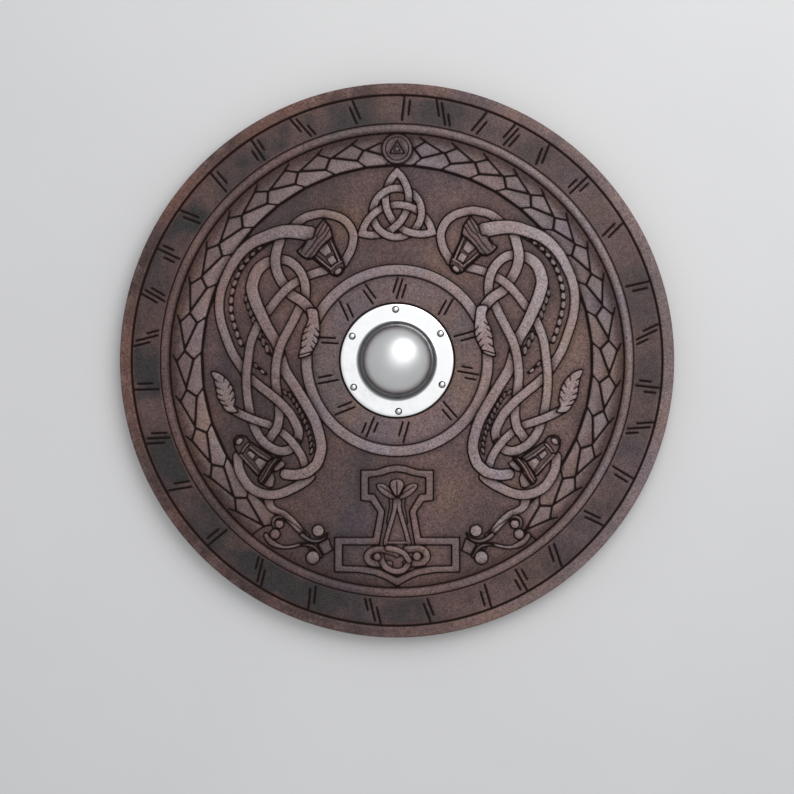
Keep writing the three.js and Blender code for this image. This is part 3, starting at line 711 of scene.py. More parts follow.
def badge(face):
    """The round badge between the serpents: a lipped disc with one triangle inside another."""
    face.ball((0, BADGE_Y), BADGE_R, *BADGE_LOOK)
    corners = np.array([90, 210, 330, 90])
    face.panel(polar(TRIANGLE_R, corners[:3]) + (0, TRIANGLE_Y), *TRIANGLE_LOOK)
    ring = polar(BADGE_RING_R, np.arange(0, 361, 10)) + (0, BADGE_Y)
    return [ring, polar(TRIANGLE_IN_R, corners) + (0, TRIANGLE_Y)]


# ---- the hammer: half of its frame's outlines, then what is carved inside it ----
HAMMER_OUT = (
    (0, -113), (9, -114), (17, -116.6), (24, -118.6), (39.3, -118.8), (39.3, -151.5), (28.8, -152.8),
    (20.8, -164), (25.8, -191.5), (67.7, -191.5), (67.7, -229), (42, -229.5), (25, -232.2), (15, -236),
    (7, -240.5), (0, -244.5))
HAMMER_IN = (
    (0, -120.6), (8, -121.6), (16, -124.4), (31, -127), (31, -144.3), (24.2, -145), (13.2, -163),
    (19.3, -199.7), (59, -199.7), (59, -222), (35, -222.8), (20, -225.5), (8, -231), (0, -234.7))
SPRIG_MIDDLE = (
    (0, -148), (-5.5, -141), (-8, -135), (-6.5, -130.5), (-2.5, -128.6), (2, -128.6), (6, -130.5),
    (7.5, -135), (5, -141))
SPRIG_SIDE = (
    (1.5, -149), (7, -149.5), (14, -146), (19.5, -141), (22.5, -135.5), (20.5, -133.2), (14, -133.6),
    (9, -137), (5, -143))
STEM = ((-2.2, -149), (-2.4, -160), (-5.5, -172), (-9.5, -185), (-12.8, -198))
SIDE_STEM = ((6.8, -150), (6.2, -158), (8, -167), (9.5, -176))
LEAF_VEIN = ((3, -146.5), (11, -141), (18.5, -136))
MIDDLE_VEIN = ((0, -146), (-0.4, -131))
BINDING = ((-13.5, -197.2), (13.5, -197.2))
LEFT_LOOP = (
    (0, -209.5), (-8, -206.5), (-16, -204.6), (-24, -205), (-30.5, -208.5), (-32.5, -213.5), (-29, -218.5),
    (-20, -220), (-8, -220.5))
RIGHT_LOOP = (
    (10, -204.5), (17, -204), (24, -203.8), (30, -206.6), (32.2, -212.5), (28.5, -218), (20, -219.5),
    (10, -220))
CROSS_BAND = ((-10, -203.2), (0, -205), (8, -209.5), (13, -216.5))
PENDANT = (
    (-17.5, -211.5), (-16, -218), (-12.5, -223.5), (-6.5, -227), (0.5, -228.5), (7, -226.5), (12, -221))
HAMMER_STUDS = (((-21.5, -212.5), 4.3), ((21.5, -212), 4.8))
# How the hammer's parts are laid: rank, rise, lightness and the half width of the cut line round each.
FRAME_LOOK = (1.0, STRAND_RISE, 0.27, 0.95)
SIDE_STEM_LOOK = (0.8, 1.7, 0.50, 0.75)
STEM_LOOK = (0.9, 1.7, 0.50, 0.75)
SIDE_LEAF_LOOK = (1.0, 1.9, 0.50, 0.8)
MIDDLE_LEAF_LOOK = (1.1, 2.0, 0.50, 0.8)
LOOP_LOOK = (1.2, 1.7, 0.50, 0.8)
PENDANT_LOOK = (1.25, 2.1, 0.50, 0.8)
CROSS_LOOK = (1.3, 2.0, 0.60, 0.8)
HAMMER_STUD_LOOK = (1.4, 1.7, 0.35, 0.9)
# The bands of the small knot: their lines, half widths and how each is laid.
SMALL_KNOT = (
    (BINDING, 1.8, STEM_LOOK), (LEFT_LOOP, 3.7, LOOP_LOOK), (RIGHT_LOOP, 3.9, LOOP_LOOK),
    (CROSS_BAND, 3.2, CROSS_LOOK), (PENDANT, 3.4, PENDANT_LOOK))


def both(half):
    """The closed outline whose right half is given, from the middle line to the middle line."""
    half = np.asarray(half, float)
    left = half[-2:0:-1] * (-1, 1)
    return lean(np.vstack([half, left]))


def hammer(face):
    """The hammer: a raised frame, and in it a three-leaved sprig on forked stems over a small knot."""
    face.panel(both(HAMMER_OUT), *FRAME_LOOK, hole=both(HAMMER_IN))
    for side in (-1, 1):
        face.band(lean(curve(SIDE_STEM, 3), side), 1.9, *SIDE_STEM_LOOK)
        face.band(lean(curve(STEM, 3), -side), 2.5, *STEM_LOOK)
        face.panel(lean(closed_curve(SPRIG_SIDE, 3), side), *SIDE_LEAF_LOOK)
    face.panel(lean(closed_curve(SPRIG_MIDDLE, 3)), *MIDDLE_LEAF_LOOK)
    for line, half, look in SMALL_KNOT:
        face.band(lean(curve(line, 3)), half, *look)
    for centre, radius in HAMMER_STUDS:
        face.ball(centre, radius, *HAMMER_STUD_LOOK)
    return [lean(MIDDLE_VEIN), lean(LEAF_VEIN), lean(LEAF_VEIN, -1)]


# ---- the marks: groups of short strokes that never touch, so that they spell nothing ----
BAND_MARKS = (
    6, 17, 31, 44, 54.5, 63, 70.5, 79.5, 88, 99.5, 112, 123.5, 134.5, 145, 155, 165, 175, 186, 198, 210,
    224, 237, 250, 264.5, 277, 290.5, 299.5, 309, 321, 333, 344.5, 354)
INNER_MARKS = (19.5, 47, 88, 112, 135, 163, 195, 222, 248, 275, 315, 350)
# Each row of marks: its angles, the radii between which it stands, its seed and its strokes' half width.
MARK_ROWS = ((BAND_MARKS, 260, 284, 3, 1.5), (INNER_MARKS, 67, 89, 8, 1.35))
MARK_DEPTH = 0.85
# Each stroke: its place across the group, its lowest and highest part of the band's height, its slant.
STROKES = (
    ((-3.0, 0.0, 1.0, 0.15), (3.4, 0.25, 0.9, 0.15)),
    ((-5.6, 0.3, 1.0, 0.55), (0.0, 0.0, 0.95, 0.55), (5.6, 0.05, 0.7, 0.55)),
    ((-4.0, 0.0, 0.75, -0.5), (1.8, 0.2, 1.0, -0.5)),
    ((-5.8, 0.15, 0.65, 0.0), (0.0, 0.0, 1.0, 0.0), (5.8, 0.4, 0.9, 0.0)),
    ((-3.0, 0.05, 1.0, 0.75), (3.8, 0.0, 0.65, 0.75)),
    ((-5.0, 0.35, 1.0, -0.7), (0.4, 0.0, 0.95, -0.7), (5.6, 0.0, 0.5, -0.7)),
)


def marks(face, angles, low, high, seed, half):
    """A row of stroke groups between two circles, each standing at its own angle. No group is the same as
    the one before it."""
    rng = np.random.default_rng(seed)
    kind = rng.integers(len(STROKES))
    for angle in angles:
        kind = (kind + rng.integers(1, len(STROKES))) % len(STROKES)
        for across, foot, tip, slant in STROKES[kind]:
            ends = []
            for part in (foot, tip):
                radius = low + (high - low) * part
                shift = across + slant * (part - 0.5) * (high - low) * 0.5
                ends.append(polar(radius, angle) + polar(shift, angle - 90))
            face.groove(np.array(ends), half, MARK_DEPTH)


# Cuts made last: half width and depth.
BED_CUT = (2.3, 0.6)
TICK_CUT = (1.3, 0.6)
FINE_CUT = (0.85, 0.6)
NOTCH_CUT = (0.8, 0.6)
CRACK_CUT = (0.6, 0.5)
NOTCH = ((92, 10.5), (106, 6.5))
CRACK = ((287, 255), (300, 255.6))
CRACK_DARK = 0.6
# Rings cut round the centre: radius, half width and depth. The first is a dark line on the wood just
# outside the boss's flange.
RINGS = (
    (BOSS_R + 0.9, 1.3, 0.5), (MOULD_IN_R, 1.1, 0.8), (BAND_IN_R, 1.0, 0.5), (RIM_IN_R + 1, 1.5, 0.9))
RING_RANK = 0.6
SCALES_RANK_TO = 0.61
JAWS_RANK_FROM = 0.9
HEADS_FROM = 232
HEADS_TO = 308


def carve(face):
    """Lays every shape on the face, settles them, and then makes the cuts that lie on top of them."""
    r = np.hypot(face.x, face.y)
    angle = np.degrees(np.arctan2(face.y, face.x)) % 360
    face.lay(np.arange(r.size), np.abs(r - RING_R) - RING_HALF, RING_RANK)
    cuts, beds, ticks = [], [], []
    for side in (1, -1):
        fine, dark = beast(face, side)
        cuts += fine
        beds += dark
        ticks += scales(face, side)
        cuts += serpent_head(face, side)
    cuts += hammer(face)
    cuts += badge(face)
    triangle_knot(face)
    face.settle()
    bare = (face.top <= 0.0).astype(float)
    for line in beds:
        face.groove(line, *BED_CUT, bare)
    on_scales = (face.top < SCALES_RANK_TO).astype(float)
    for line in ticks:
        face.groove(line, *TICK_CUT, on_scales)
    for line in cuts:
        face.groove(line, *FINE_CUT)
    for side in (1, -1):
        face.groove(lean(NOTCH, side), *NOTCH_CUT)
    above_heads = ((angle < HEADS_FROM) | (angle > HEADS_TO)).astype(float) * (face.top < JAWS_RANK_FROM)
    face.ring(SCALES_IN_R, 0.7, 0.9, above_heads)
    for radius, half, depth in RINGS:
        face.ring(radius, half, depth)
    for row in MARK_ROWS:
        marks(face, *row)
    face.groove(np.array([polar(*end) for end in CRACK]), *CRACK_CUT, dark=CRACK_DARK)


# ---- meshes ----
def smooth_faces(mesh, sharp_from=None):
    """Smooth faces all over, with edges that bend more than an angle in degrees left sharp."""
    mesh.polygons.foreach_set("use_smooth", np.ones(len(mesh.polygons), bool))
    if sharp_from:
        mesh.set_sharp_from_angle(angle=math.radians(sharp_from))


def places(mesh):
    """The mesh's vertices as rows of x, y and z in millimetres."""
    co = np.empty(len(mesh.vertices) * 3)
    mesh.vertices.foreach_get("co", co)
    return co.reshape(-1, 3) / MM


def add_layer(mesh, name, values):
    """A named value at each vertex of the mesh, which its finish reads."""
    mesh.attributes.new(name, "FLOAT", "POINT").data.foreach_set("value", values.astype(np.float32))


def mesh_of(name, vertices, faces):
    """A mesh object from arrays of places in millimetres and of faces, smooth all over."""
    mesh = bpy.data.meshes.new(name)
    mesh.from_pydata((np.asarray(vertices, float).reshape(-1, 3) * MM).tolist(), [], faces)
    mesh.update()
    smooth_faces(mesh)
    piece = bpy.data.objects.new(name, mesh)
    bpy.context.scene.collection.objects.link(piece)
    return piece


def grid_faces(rows, columns, wrap_rows=False):
    """The four-sided faces of a grid of places that closes round its columns, each between two rows and two
    columns, as rows of four vertex numbers."""
    i = np.arange(rows if wrap_rows else rows - 1)[:, None]
    j = np.arange(columns)[None, :]
    i2, j2 = (i + 1) % rows, (j + 1) % columns
    corners = [i * columns + j, i2 * columns + j, i2 * columns + j2, i * columns + j2]
    return np.stack(corners, -1).reshape(-1, 4).tolist()


WELD = 1e-7


def welded(piece):
    """Merges places that fall together, at poles, and turns the faces outwards."""
    bm = bmesh.new()
    bm.from_mesh(piece.data)
    bmesh.ops.remove_doubles(bm, verts=bm.verts, dist=WELD)
    bmesh.ops.recalc_face_normals(bm, faces=bm.faces)
    bm.to_mesh(piece.data)
    bm.free()
    return piece


def turned(name, profile, columns, at=(0.0, 0.0), closed=False):
    """A profile of (radius, height) places turned about a line parallel to +Z: each place becomes a
    ring."""
    profile = np.asarray(profile, float)
    turn = np.linspace(0, 2 * math.pi, columns, endpoint=False)
    x = at[0] + profile[:, :1] * np.cos(turn)
    y = at[1] + profile[:, :1] * np.sin(turn)
    z = np.broadcast_to(profile[:, 1:], x.shape)
    faces = grid_faces(len(profile), columns, wrap_rows=closed)
    return welded(mesh_of(name, np.stack([x, y, z], -1), faces))


def apply_modifiers(piece):
    """Replaces the piece's mesh with what its modifiers make of it."""
    bpy.context.view_layer.update()
    made = piece.evaluated_get(bpy.context.evaluated_depsgraph_get())
    mesh = bpy.data.meshes.new_from_object(made)
    piece.modifiers.clear()
    piece.data = mesh


def cut_away(piece, tools):
    """Takes each tool's shape out of the piece, and removes the tool."""
    for tool in tools:
        cut = piece.modifiers.new("cut", "BOOLEAN")
        cut.operation = "DIFFERENCE"
        cut.solver = "EXACT"
        cut.object = tool
        apply_modifiers(piece)
        bpy.data.objects.remove(tool)


def joined(name, pieces):
    """Several separate closed pieces as one tool."""
    vertices, faces, start = [], [], 0
    for piece in pieces:
        mesh = piece.data
        vertices += [tuple(v.co / MM) for v in mesh.vertices]
        faces += [tuple(start + i for i in face.vertices) for face in mesh.polygons]
        start += len(mesh.vertices)
        bpy.data.objects.remove(piece)
    return mesh_of(name, vertices, faces)


def box(name, low, high):
    """A closed box between two opposite corners."""
    corners = [(x, y, z) for z in (low[2], high[2]) for y in (low[1], high[1]) for x in (low[0], high[0])]
    faces = [(0, 2, 3, 1), (4, 5, 7, 6), (0, 1, 5, 4), (2, 6, 7, 3), (0, 4, 6, 2), (1, 3, 7, 5)]
    return mesh_of(name, corners, faces)


def quarter(centre, radius, start, end, steps=6):
    """An arc of a profile about a centre, from one angle to another, in degrees."""
    turn = np.radians(np.linspace(start, end, steps))
    return np.stack([centre[0] + radius * np.cos(turn), centre[1] + radius * np.sin(turn)], -1)


# ---- where the fastenings are, from the frame ----
def middle(node):
    """The middle of a node seen from above, in millimetres."""
    low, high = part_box(node)
    return (low.x + high.x) / 2 / MM, (low.y + high.y) / 2 / MM


RIVETS = [middle(f"boss_rivet_{k}") for k in range(1, 7)]
NAILS = [middle(f"grip_nail_{k}") for k in range(1, 3)]
SHANK_R = 2.0
ROVE_R = 7.0
ROVE_SINK = 2.8
ROVE_T = 1.4
GRIP_END_T = 14.0
GAP = 0.3
NAIL_R = 1.6
NAIL_HEAD_R = 4.0
NAIL_HEAD_T = 2.0
BELOW = -2


def bored(at, top, radius, wide=0.0, depth=0.0, bottom=BELOW, columns=24):
    """A tool for a hole: a cylinder up to top, with a wider one round it up to a depth if that is given."""
    counterbore = [(wide, bottom), (wide, depth), (radius, depth)] if wide else [(radius, bottom)]
    return turned("bore", [(0, bottom), *counterbore, (radius, top), (0, top)], columns, at)


# ---- the board ----
BAND_HOLLOW = 0.5
RIM_STEP_IN = 0.5
RIM_STEP_OUT = 2.5


def ground(r):
    """The height of the face before the carving: the flat field, a moulding crowned like part of a circle
    that comes down to the band, the band for the marks, hollowed by a parabola, and a flat rim a step
    higher."""
    mould = (r - MOULD_IN_R) / (BAND_IN_R - MOULD_IN_R)
    crown = FIELD_Z + (RIM_Z - FIELD_Z) * np.clip(1 - (2.2 * mould - 1.15) ** 2, 0, 1) ** 0.5
    slope = FIELD_Z + (BAND_Z - FIELD_Z) * smooth(mould, 0.3, 0.9)
    z = np.where((mould > 0) & (mould <= 1), np.maximum(crown, slope), FIELD_Z)
    across = (r - BAND_IN_R) / (RIM_IN_R - BAND_IN_R)
    z = np.where(mould > 1, BAND_Z - BAND_HOLLOW * (1 - (2 * across - 1) ** 2), z)
    rim = BAND_Z + (RIM_Z - BAND_Z) * smooth(r, RIM_IN_R - RIM_STEP_IN, RIM_IN_R + RIM_STEP_OUT)
    return np.where(r > RIM_IN_R - RIM_STEP_IN, rim, z)


def board_rings():
    """The face's ring radii, and the rings of the rest of the section as (radius, height): the rounded
    edge, the wall, the back and the wall of the hand hole, back to where the face begins."""
    face = np.arange(HOLE_R + 0.6, BOARD_R - EDGE_R, FACE_STEP)
    top = quarter((BOARD_R - EDGE_R, RIM_Z - EDGE_R), EDGE_R, 90, 0, 7)
    foot = quarter((BOARD_R - EDGE_R, EDGE_R), EDGE_R, 0, -90, 7)
    wall = [(BOARD_R, z) for z in np.linspace(RIM_Z - EDGE_R, EDGE_R, 8)[1:-1]]
    back = [(r, 0.0) for r in np.linspace(BOARD_R - EDGE_R, HOLE_R + 1.0, 14)[1:]]
    hole = [(HOLE_R + 0.3, 0.3), (HOLE_R, 1.0), (HOLE_R, FIELD_Z / 2), (HOLE_R, FIELD_Z - 0.6)]
    return face, np.vstack([top, wall, foot, back, hole])


def softened(values):
    """Each value averaged with its neighbours along and across the rings, 1-2-1, so that outlines aren't
    stepped."""
    inner = np.pad(values, ((1, 1), (0, 0)), mode="edge")
    values = (inner[:-2] + 2 * values + inner[2:]) / 4
    return (np.roll(values, 1, 1) + 2 * values + np.roll(values, -1, 1)) / 4


# How light the smooth parts are: a rubbed base, then painted light, how much more at the right and how much
# more at the top.
MOULD_LIT = (0.34, 0.22, 0.20)
RIM_LIT = (0.07, 0.19, -0.05)
INNER_LIT = (0.34, -0.20, 0.0)
HAMMER_Y = -172
HAMMER_REACH = 75
HAMMER_LIT = 0.13
MOULD_SHADE = 0.75
STAIN_BASE = 0.31
STAIN_PATCHES = 0.69
EDGE_WEAR_REACH = 2.2
# A painted highlight along the step up to the rim, carried in the worn edge's layer.
STEP_HIGHLIGHT = 0.5
STEP_HIGHLIGHT_R = 289.5
STEP_HIGHLIGHT_REACH = 1.5
FIELD_HAND = 1.0
CARVED_HAND = 0.4


def carved_face(radii):
    """The carved face on its rings: its height, and how far each place is in a cut line, rubbed light,
    shaded, stained or at a worn edge. The smooth parts' rubbed light is partly painted light that changes
    across the board, and the worn edge takes in a painted highlight along the step to the rim. A little
    slow unevenness is left by the maker's hand."""
    turn = np.linspace(0, 2 * math.pi, COLUMNS, endpoint=False)
    r, angle = np.meshgrid(radii, turn, indexing="ij")
    x, y = r * np.cos(angle), r * np.sin(angle)
    face = Face(x, y)
    carve(face)
    rise, cut, lit, shade, top = (
        values.reshape(r.shape) for values in (face.rise, face.cut, face.lit, face.shade, face.top))

    def rubbed_and_painted_light(base, rightwards, upwards):
        """A rubbed lightness, with painted light that changes evenly across the board."""
        return base + rightwards * (x / BOARD_R) + upwards * (y / BOARD_R)
    field = r < MOULD_IN_R - 1
    plain = top <= 0
    # Painted light on the moulding, the rim and the inner field, changing across the board.
    lit = lit + (r > MOULD_IN_R + 1) * (r < BAND_IN_R - 1) * rubbed_and_painted_light(*MOULD_LIT)
    lit = lit + (r > RIM_IN_R + 1) * np.maximum(rubbed_and_painted_light(*RIM_LIT), 0)
    lit = lit + (r < RING_R - RING_HALF) * plain * rubbed_and_painted_light(*INNER_LIT)
    lit = lit + HAMMER_LIT * np.exp(-(x**2 + (y - HAMMER_Y) ** 2) / HAMMER_REACH**2) * field
    under_mould = smooth(r, KNEE_R + 1, MOULD_IN_R - 2) * (1 - smooth(r, MOULD_IN_R, MOULD_IN_R + 1.5))
    shade = np.maximum(shade, MOULD_SHADE * under_mould)
    band = smooth(r, BAND_IN_R, BAND_IN_R + 3) * (1 - smooth(r, RIM_IN_R - 3, RIM_IN_R))
    hand = 0.10 * waves(x, y, seed=11, longest=60, shortest=14)
    hand = hand + 0.05 * waves(x, y, seed=12, longest=14, shortest=6)
    patches = waves(x, y, seed=21, longest=260, shortest=60)
    patches = smooth(patches + 0.35 * waves(x, y, seed=22, longest=40, shortest=16), -0.45, 1.0)
    edge = np.exp(-((r - (BOARD_R - EDGE_R)) / EDGE_WEAR_REACH) ** 2)
    # The worn outer edge, and a painted highlight along the step to the rim.
    edge = edge + STEP_HIGHLIGHT * np.exp(-((r - STEP_HIGHLIGHT_R) / STEP_HIGHLIGHT_REACH) ** 2)
    stain = band * (STAIN_BASE + STAIN_PATCHES * patches)
    layers = {"cut": cut, "lit": lit, "shade": shade, "stain": stain, "edge": edge}
    height = ground(r) + rise + np.where(field & plain, FIELD_HAND, CARVED_HAND) * hand
    return softened(height), {name: softened(values) for name, values in layers.items()}


def sampled(values, radii, r, angle):
    """The values of the rings at other places, in a straight line between the four nearest."""
    row = np.interp(r, radii, np.arange(len(radii)))
    column = (angle / (2 * math.pi) % 1.0) * values.shape[1]
    i = np.clip(row.astype(int), 0, len(radii) - 2)
    j = column.astype(int) % values.shape[1]
    u, v = row - i, column - column.astype(int)
    k = (j + 1) % values.shape[1]
    low = values[i, j] * (1 - v) + values[i, k] * v
    high = values[i + 1, j] * (1 - v) + values[i + 1, k] * v
    return low * (1 - u) + high * u


HOUSING_BELOW = -5
NAIL_BORE_BOTTOM = 10
FACE_DEPTH = 4
BOARD_SHARP = 60


def make_board():
    """The board: its rings of places joined into one closed surface, thinned where it is flat, with the
    grip's housing and the holes for rivets, roves and nails cut from it. Its layers are read off the
    rings."""
    radii, rest = board_rings()
    height, layers = carved_face(radii)
    turn = np.linspace(0, 2 * math.pi, COLUMNS, endpoint=False)
    ring_r = np.concatenate([radii, rest[:, 0]])[:, None]
    x, y = ring_r * np.cos(turn), ring_r * np.sin(turn)
    z = np.vstack([height, np.repeat(rest[:, 1:], COLUMNS, axis=1)])
    board = mesh_of("carved_board", np.stack([x, y, z], -1), grid_faces(*x.shape, wrap_rows=True))
    thin = board.modifiers.new("thin", "DECIMATE")
    thin.ratio = BOARD_TRIANGLES / (2 * x.size)
    apply_modifiers(board)
    half_l, half_w = grip_high.x / MM + GAP, grip_high.y / MM + GAP
    housing = box("housing", (-half_l, -half_w, HOUSING_BELOW), (half_l, half_w, GRIP_END_T + GAP))
    bores = [bored(at, FIELD_Z + 4, SHANK_R + GAP, ROVE_R + 1, ROVE_SINK, columns=32) for at in RIVETS]
    nail_bores = [bored(at, FIELD_Z - 2, NAIL_R + GAP, bottom=NAIL_BORE_BOTTOM) for at in NAILS]
    cut_away(board, [housing, joined("bores", bores), joined("nail_bores", nail_bores)])
    x, y, z = places(board.data).T
    r, angle = np.hypot(x, y), np.arctan2(y, x)
    on_face = (z > FIELD_Z - FACE_DEPTH) & (r > HOLE_R + 0.3)
    for name, values in layers.items():
        add_layer(board.data, name, np.where(on_face, sampled(values, radii, r, angle), 0.0))
    smooth_faces(board.data, BOARD_SHARP)
    return board


# ---- the boss, its rivets and roves ----
BOSS_WALL_R = 44.5
BOSS_NECK_R = 37.4
BOSS_DOME_R = 38.6
BOSS_SHEET = 1.8
BOSS_NECK_RISE = 11.0
BOSS_LIP_RISE = 2.0
BOSS_EDGE_R = 0.8
BOSS_HOLE_BOTTOM = 19
BOSS_SHARP = 40
HEAD_R = 3.9
HEAD_RISE = 2.2
# The neck, darkened by a painted dark reflection, and the dome that handling dulls: how much, and the radii
# over which each comes and goes.
DARK_REFLECTION_MOST = 0.9
DARK_REFLECTION_IN = (33.5, 37.2)
DARK_REFLECTION_OUT = (41.5, 44.3)
SATIN_MOST = 0.20
SATIN_OUT = (36, 44)
# The rivet heads' steep sides, painted with a dark reflection: how much, and the radii over which it comes
# in.
RIVET_REFLECTION_MOST = 0.95
RIVET_REFLECTION_IN = (1.6, 3.2)


def boss_skin(offset):
    """The boss's outline from the foot of the neck to the top of the dome: a quarter ellipse that starts
    flat on the flange and ends upright, a short lip outwards, and a quarter ellipse for the dome."""
    t = np.linspace(0.03, math.pi / 2, 16)
    neck_r = BOSS_WALL_R - offset - (BOSS_WALL_R - BOSS_NECK_R) * np.sin(t)
    neck_z = BOSS_SEAT + BOSS_SHEET - offset + BOSS_NECK_RISE * (1 - np.cos(t))
    neck = np.stack([neck_r, neck_z], -1)
    equator = BOSS_SEAT + BOSS_SHEET + BOSS_NECK_RISE + BOSS_LIP_RISE
    t = np.linspace(-0.25, math.pi / 2, 40)
    rise = BOSS_TOP - equator - offset
    dome = np.stack([(BOSS_DOME_R - offset) * np.cos(t), equator + rise * np.sin(t)], -1)
    dome[-1, 0] = 0.0
    return np.vstack([neck, dome])


def make_boss():
    """The boss: one sheet of steel, turned to a flange, a concave neck and a dome, with six rivet holes."""
    top = BOSS_SEAT + BOSS_SHEET
    rim = quarter((BOSS_R - BOSS_EDGE_R, top - BOSS_EDGE_R), BOSS_EDGE_R, -90, 90, 9)
    flat = [(r, top) for r in np.linspace(BOSS_R - 4, BOSS_WALL_R + 1, 6)]
    under = [(BOSS_WALL_R - BOSS_SHEET, BOSS_SEAT), (BOSS_R - 1.2, BOSS_SEAT)]
    profile = np.vstack([boss_skin(BOSS_SHEET)[::-1], under, rim, flat, boss_skin(0.0)])
    profile[:, 1] = np.maximum(profile[:, 1], BOSS_SEAT)
    boss = turned("steel_boss", profile, columns=160)
    holes = [bored(at, top + 2, SHANK_R + 0.1, bottom=BOSS_HOLE_BOTTOM) for at in RIVETS]
    cut_away(boss, [joined("holes", holes)])
    x, y, _ = places(boss.data).T
    r = np.hypot(x, y)
    # A painted dark reflection round the neck.
    add_layer(boss.data, "dark_reflection", DARK_REFLECTION_MOST * smooth(r, *DARK_REFLECTION_IN) * (1 - smooth(r, *DARK_REFLECTION_OUT)))
    add_layer(boss.data, "satin", SATIN_MOST * (1 - smooth(r, *SATIN_OUT)))
    smooth_faces(boss.data, BOSS_SHARP)
    return boss


def make_rivet(name, at):
    """A rivet: a low domed head with a crisp edge on the flange, and a shank peened over at its foot."""
    seat = BOSS_SEAT + BOSS_SHEET + 0.05
    t = np.linspace(0.15, math.pi / 2, 12)
    dome = np.stack([HEAD_R * np.cos(t), seat + 0.3 + (HEAD_RISE - 0.1) * np.sin(t)], -1)
    dome[-1, 0] = 0.0
    foot = [(0, 0.55), (SHANK_R * 0.7, 0.6), (SHANK_R * 1.5, 1.0), (SHANK_R * 1.45, 1.15), (SHANK_R, 1.2)]
    brim = [(SHANK_R, seat), (HEAD_R - 0.2, seat), (HEAD_R, seat + 0.3)]
    rivet = turned(name, np.vstack([foot, brim, dome]), columns=40, at=at)
    x, y, z = places(rivet.data).T
    # A painted dark reflection on the head's sides, darkest at its edge.
    dark_reflection = RIVET_REFLECTION_MOST * smooth(np.hypot(x - at[0], y - at[1]), *RIVET_REFLECTION_IN)
    add_layer(rivet.data, "dark_reflection", dark_reflection * (z > seat - 0.1))
    return rivet


def make_rove(name, at):
    """A rove: a washer with rounded edges in its counterbore, a little dished to its hole."""
    high = ROVE_SINK - GAP
    low = high - ROVE_T
    ring = [
        (SHANK_R + 0.2, low + 0.25), (SHANK_R + 0.8, low), (ROVE_R - 0.5, low + 0.1), (ROVE_R, low + 0.6),
        (ROVE_R - 0.2, high), (SHANK_R + 0.2, high)]
    return turned(name, ring, columns=40, at=at, closed=True)


# ---- the grip and its nails ----
GRIP_SHARP = 50
GRIP_ROUND_FROM = 24
GRIP_ROUND_TO = 40
GRIP_WAIST = 1.5
# The end caps: how far along the bar each ring is, from the middle at 0 to the end at 1, and its size.
GRIP_CAP = ((0.985, 0.995), (0.994, 0.98), (1.0, 0.93), (1.0, 0.0))


def make_grip():
    """The grip: a bar along X whose section is a superellipse, nearly square at its ends and round in the
    middle, with softened ends. u runs along the bar and v round the section."""
    half_l = grip_high.x / MM
    half_w = grip_high.y / MM
    mid_t = grip_high.z / MM
    cap, size = np.array(GRIP_CAP).T
    u = np.concatenate([-cap[::-1], np.linspace(-0.97, 0.97, 61), cap])[:, None]
    shrink = np.concatenate([size[::-1], np.ones(61), size])[:, None]
    v = np.linspace(0, 2 * math.pi, 56, endpoint=False)[None, :]
    x = u * half_l
    rounded = 1 - smooth(np.abs(x), GRIP_ROUND_FROM, GRIP_ROUND_TO)
    top = GRIP_END_T + (mid_t - GRIP_END_T) * rounded
    power = 0.16 + 0.59 * rounded
    across = np.sign(np.cos(v)) * np.abs(np.cos(v)) ** power
    up = np.sign(np.sin(v)) * np.abs(np.sin(v)) ** power
    swell = 0.25 * np.sin(x / 9.0) * rounded
    y = (half_w - GRIP_WAIST * rounded + np.minimum(swell, 0)) * across * shrink
    z = GAP + (top - GAP) * (0.5 + 0.5 * up * shrink)
    grip = welded(mesh_of("grip_bar", np.stack([x + 0 * y, y, z], -1), grid_faces(*y.shape)))
    sinks = [
        bored(at, GRIP_END_T + 3, NAIL_R + GAP, NAIL_HEAD_R + GAP, NAIL_HEAD_T, columns=32) for at in NAILS]
    cut_away(grip, [joined("sinks", sinks)])
    smooth_faces(grip.data, GRIP_SHARP)
    return grip


def make_nail(name, at):
    """A nail: a faceted hand-made head, flush in its recess, and a shank that tapers to a point."""
    profile = [
        (0, GAP), (NAIL_HEAD_R * 0.55, GAP + 0.1), (NAIL_HEAD_R, GAP + 0.7), (NAIL_HEAD_R, 1.7),
        (NAIL_R, 1.8), (NAIL_R, 12), (NAIL_R * 0.75, 15), (0, 18)]
    return turned(name, profile, columns=12, at=at)


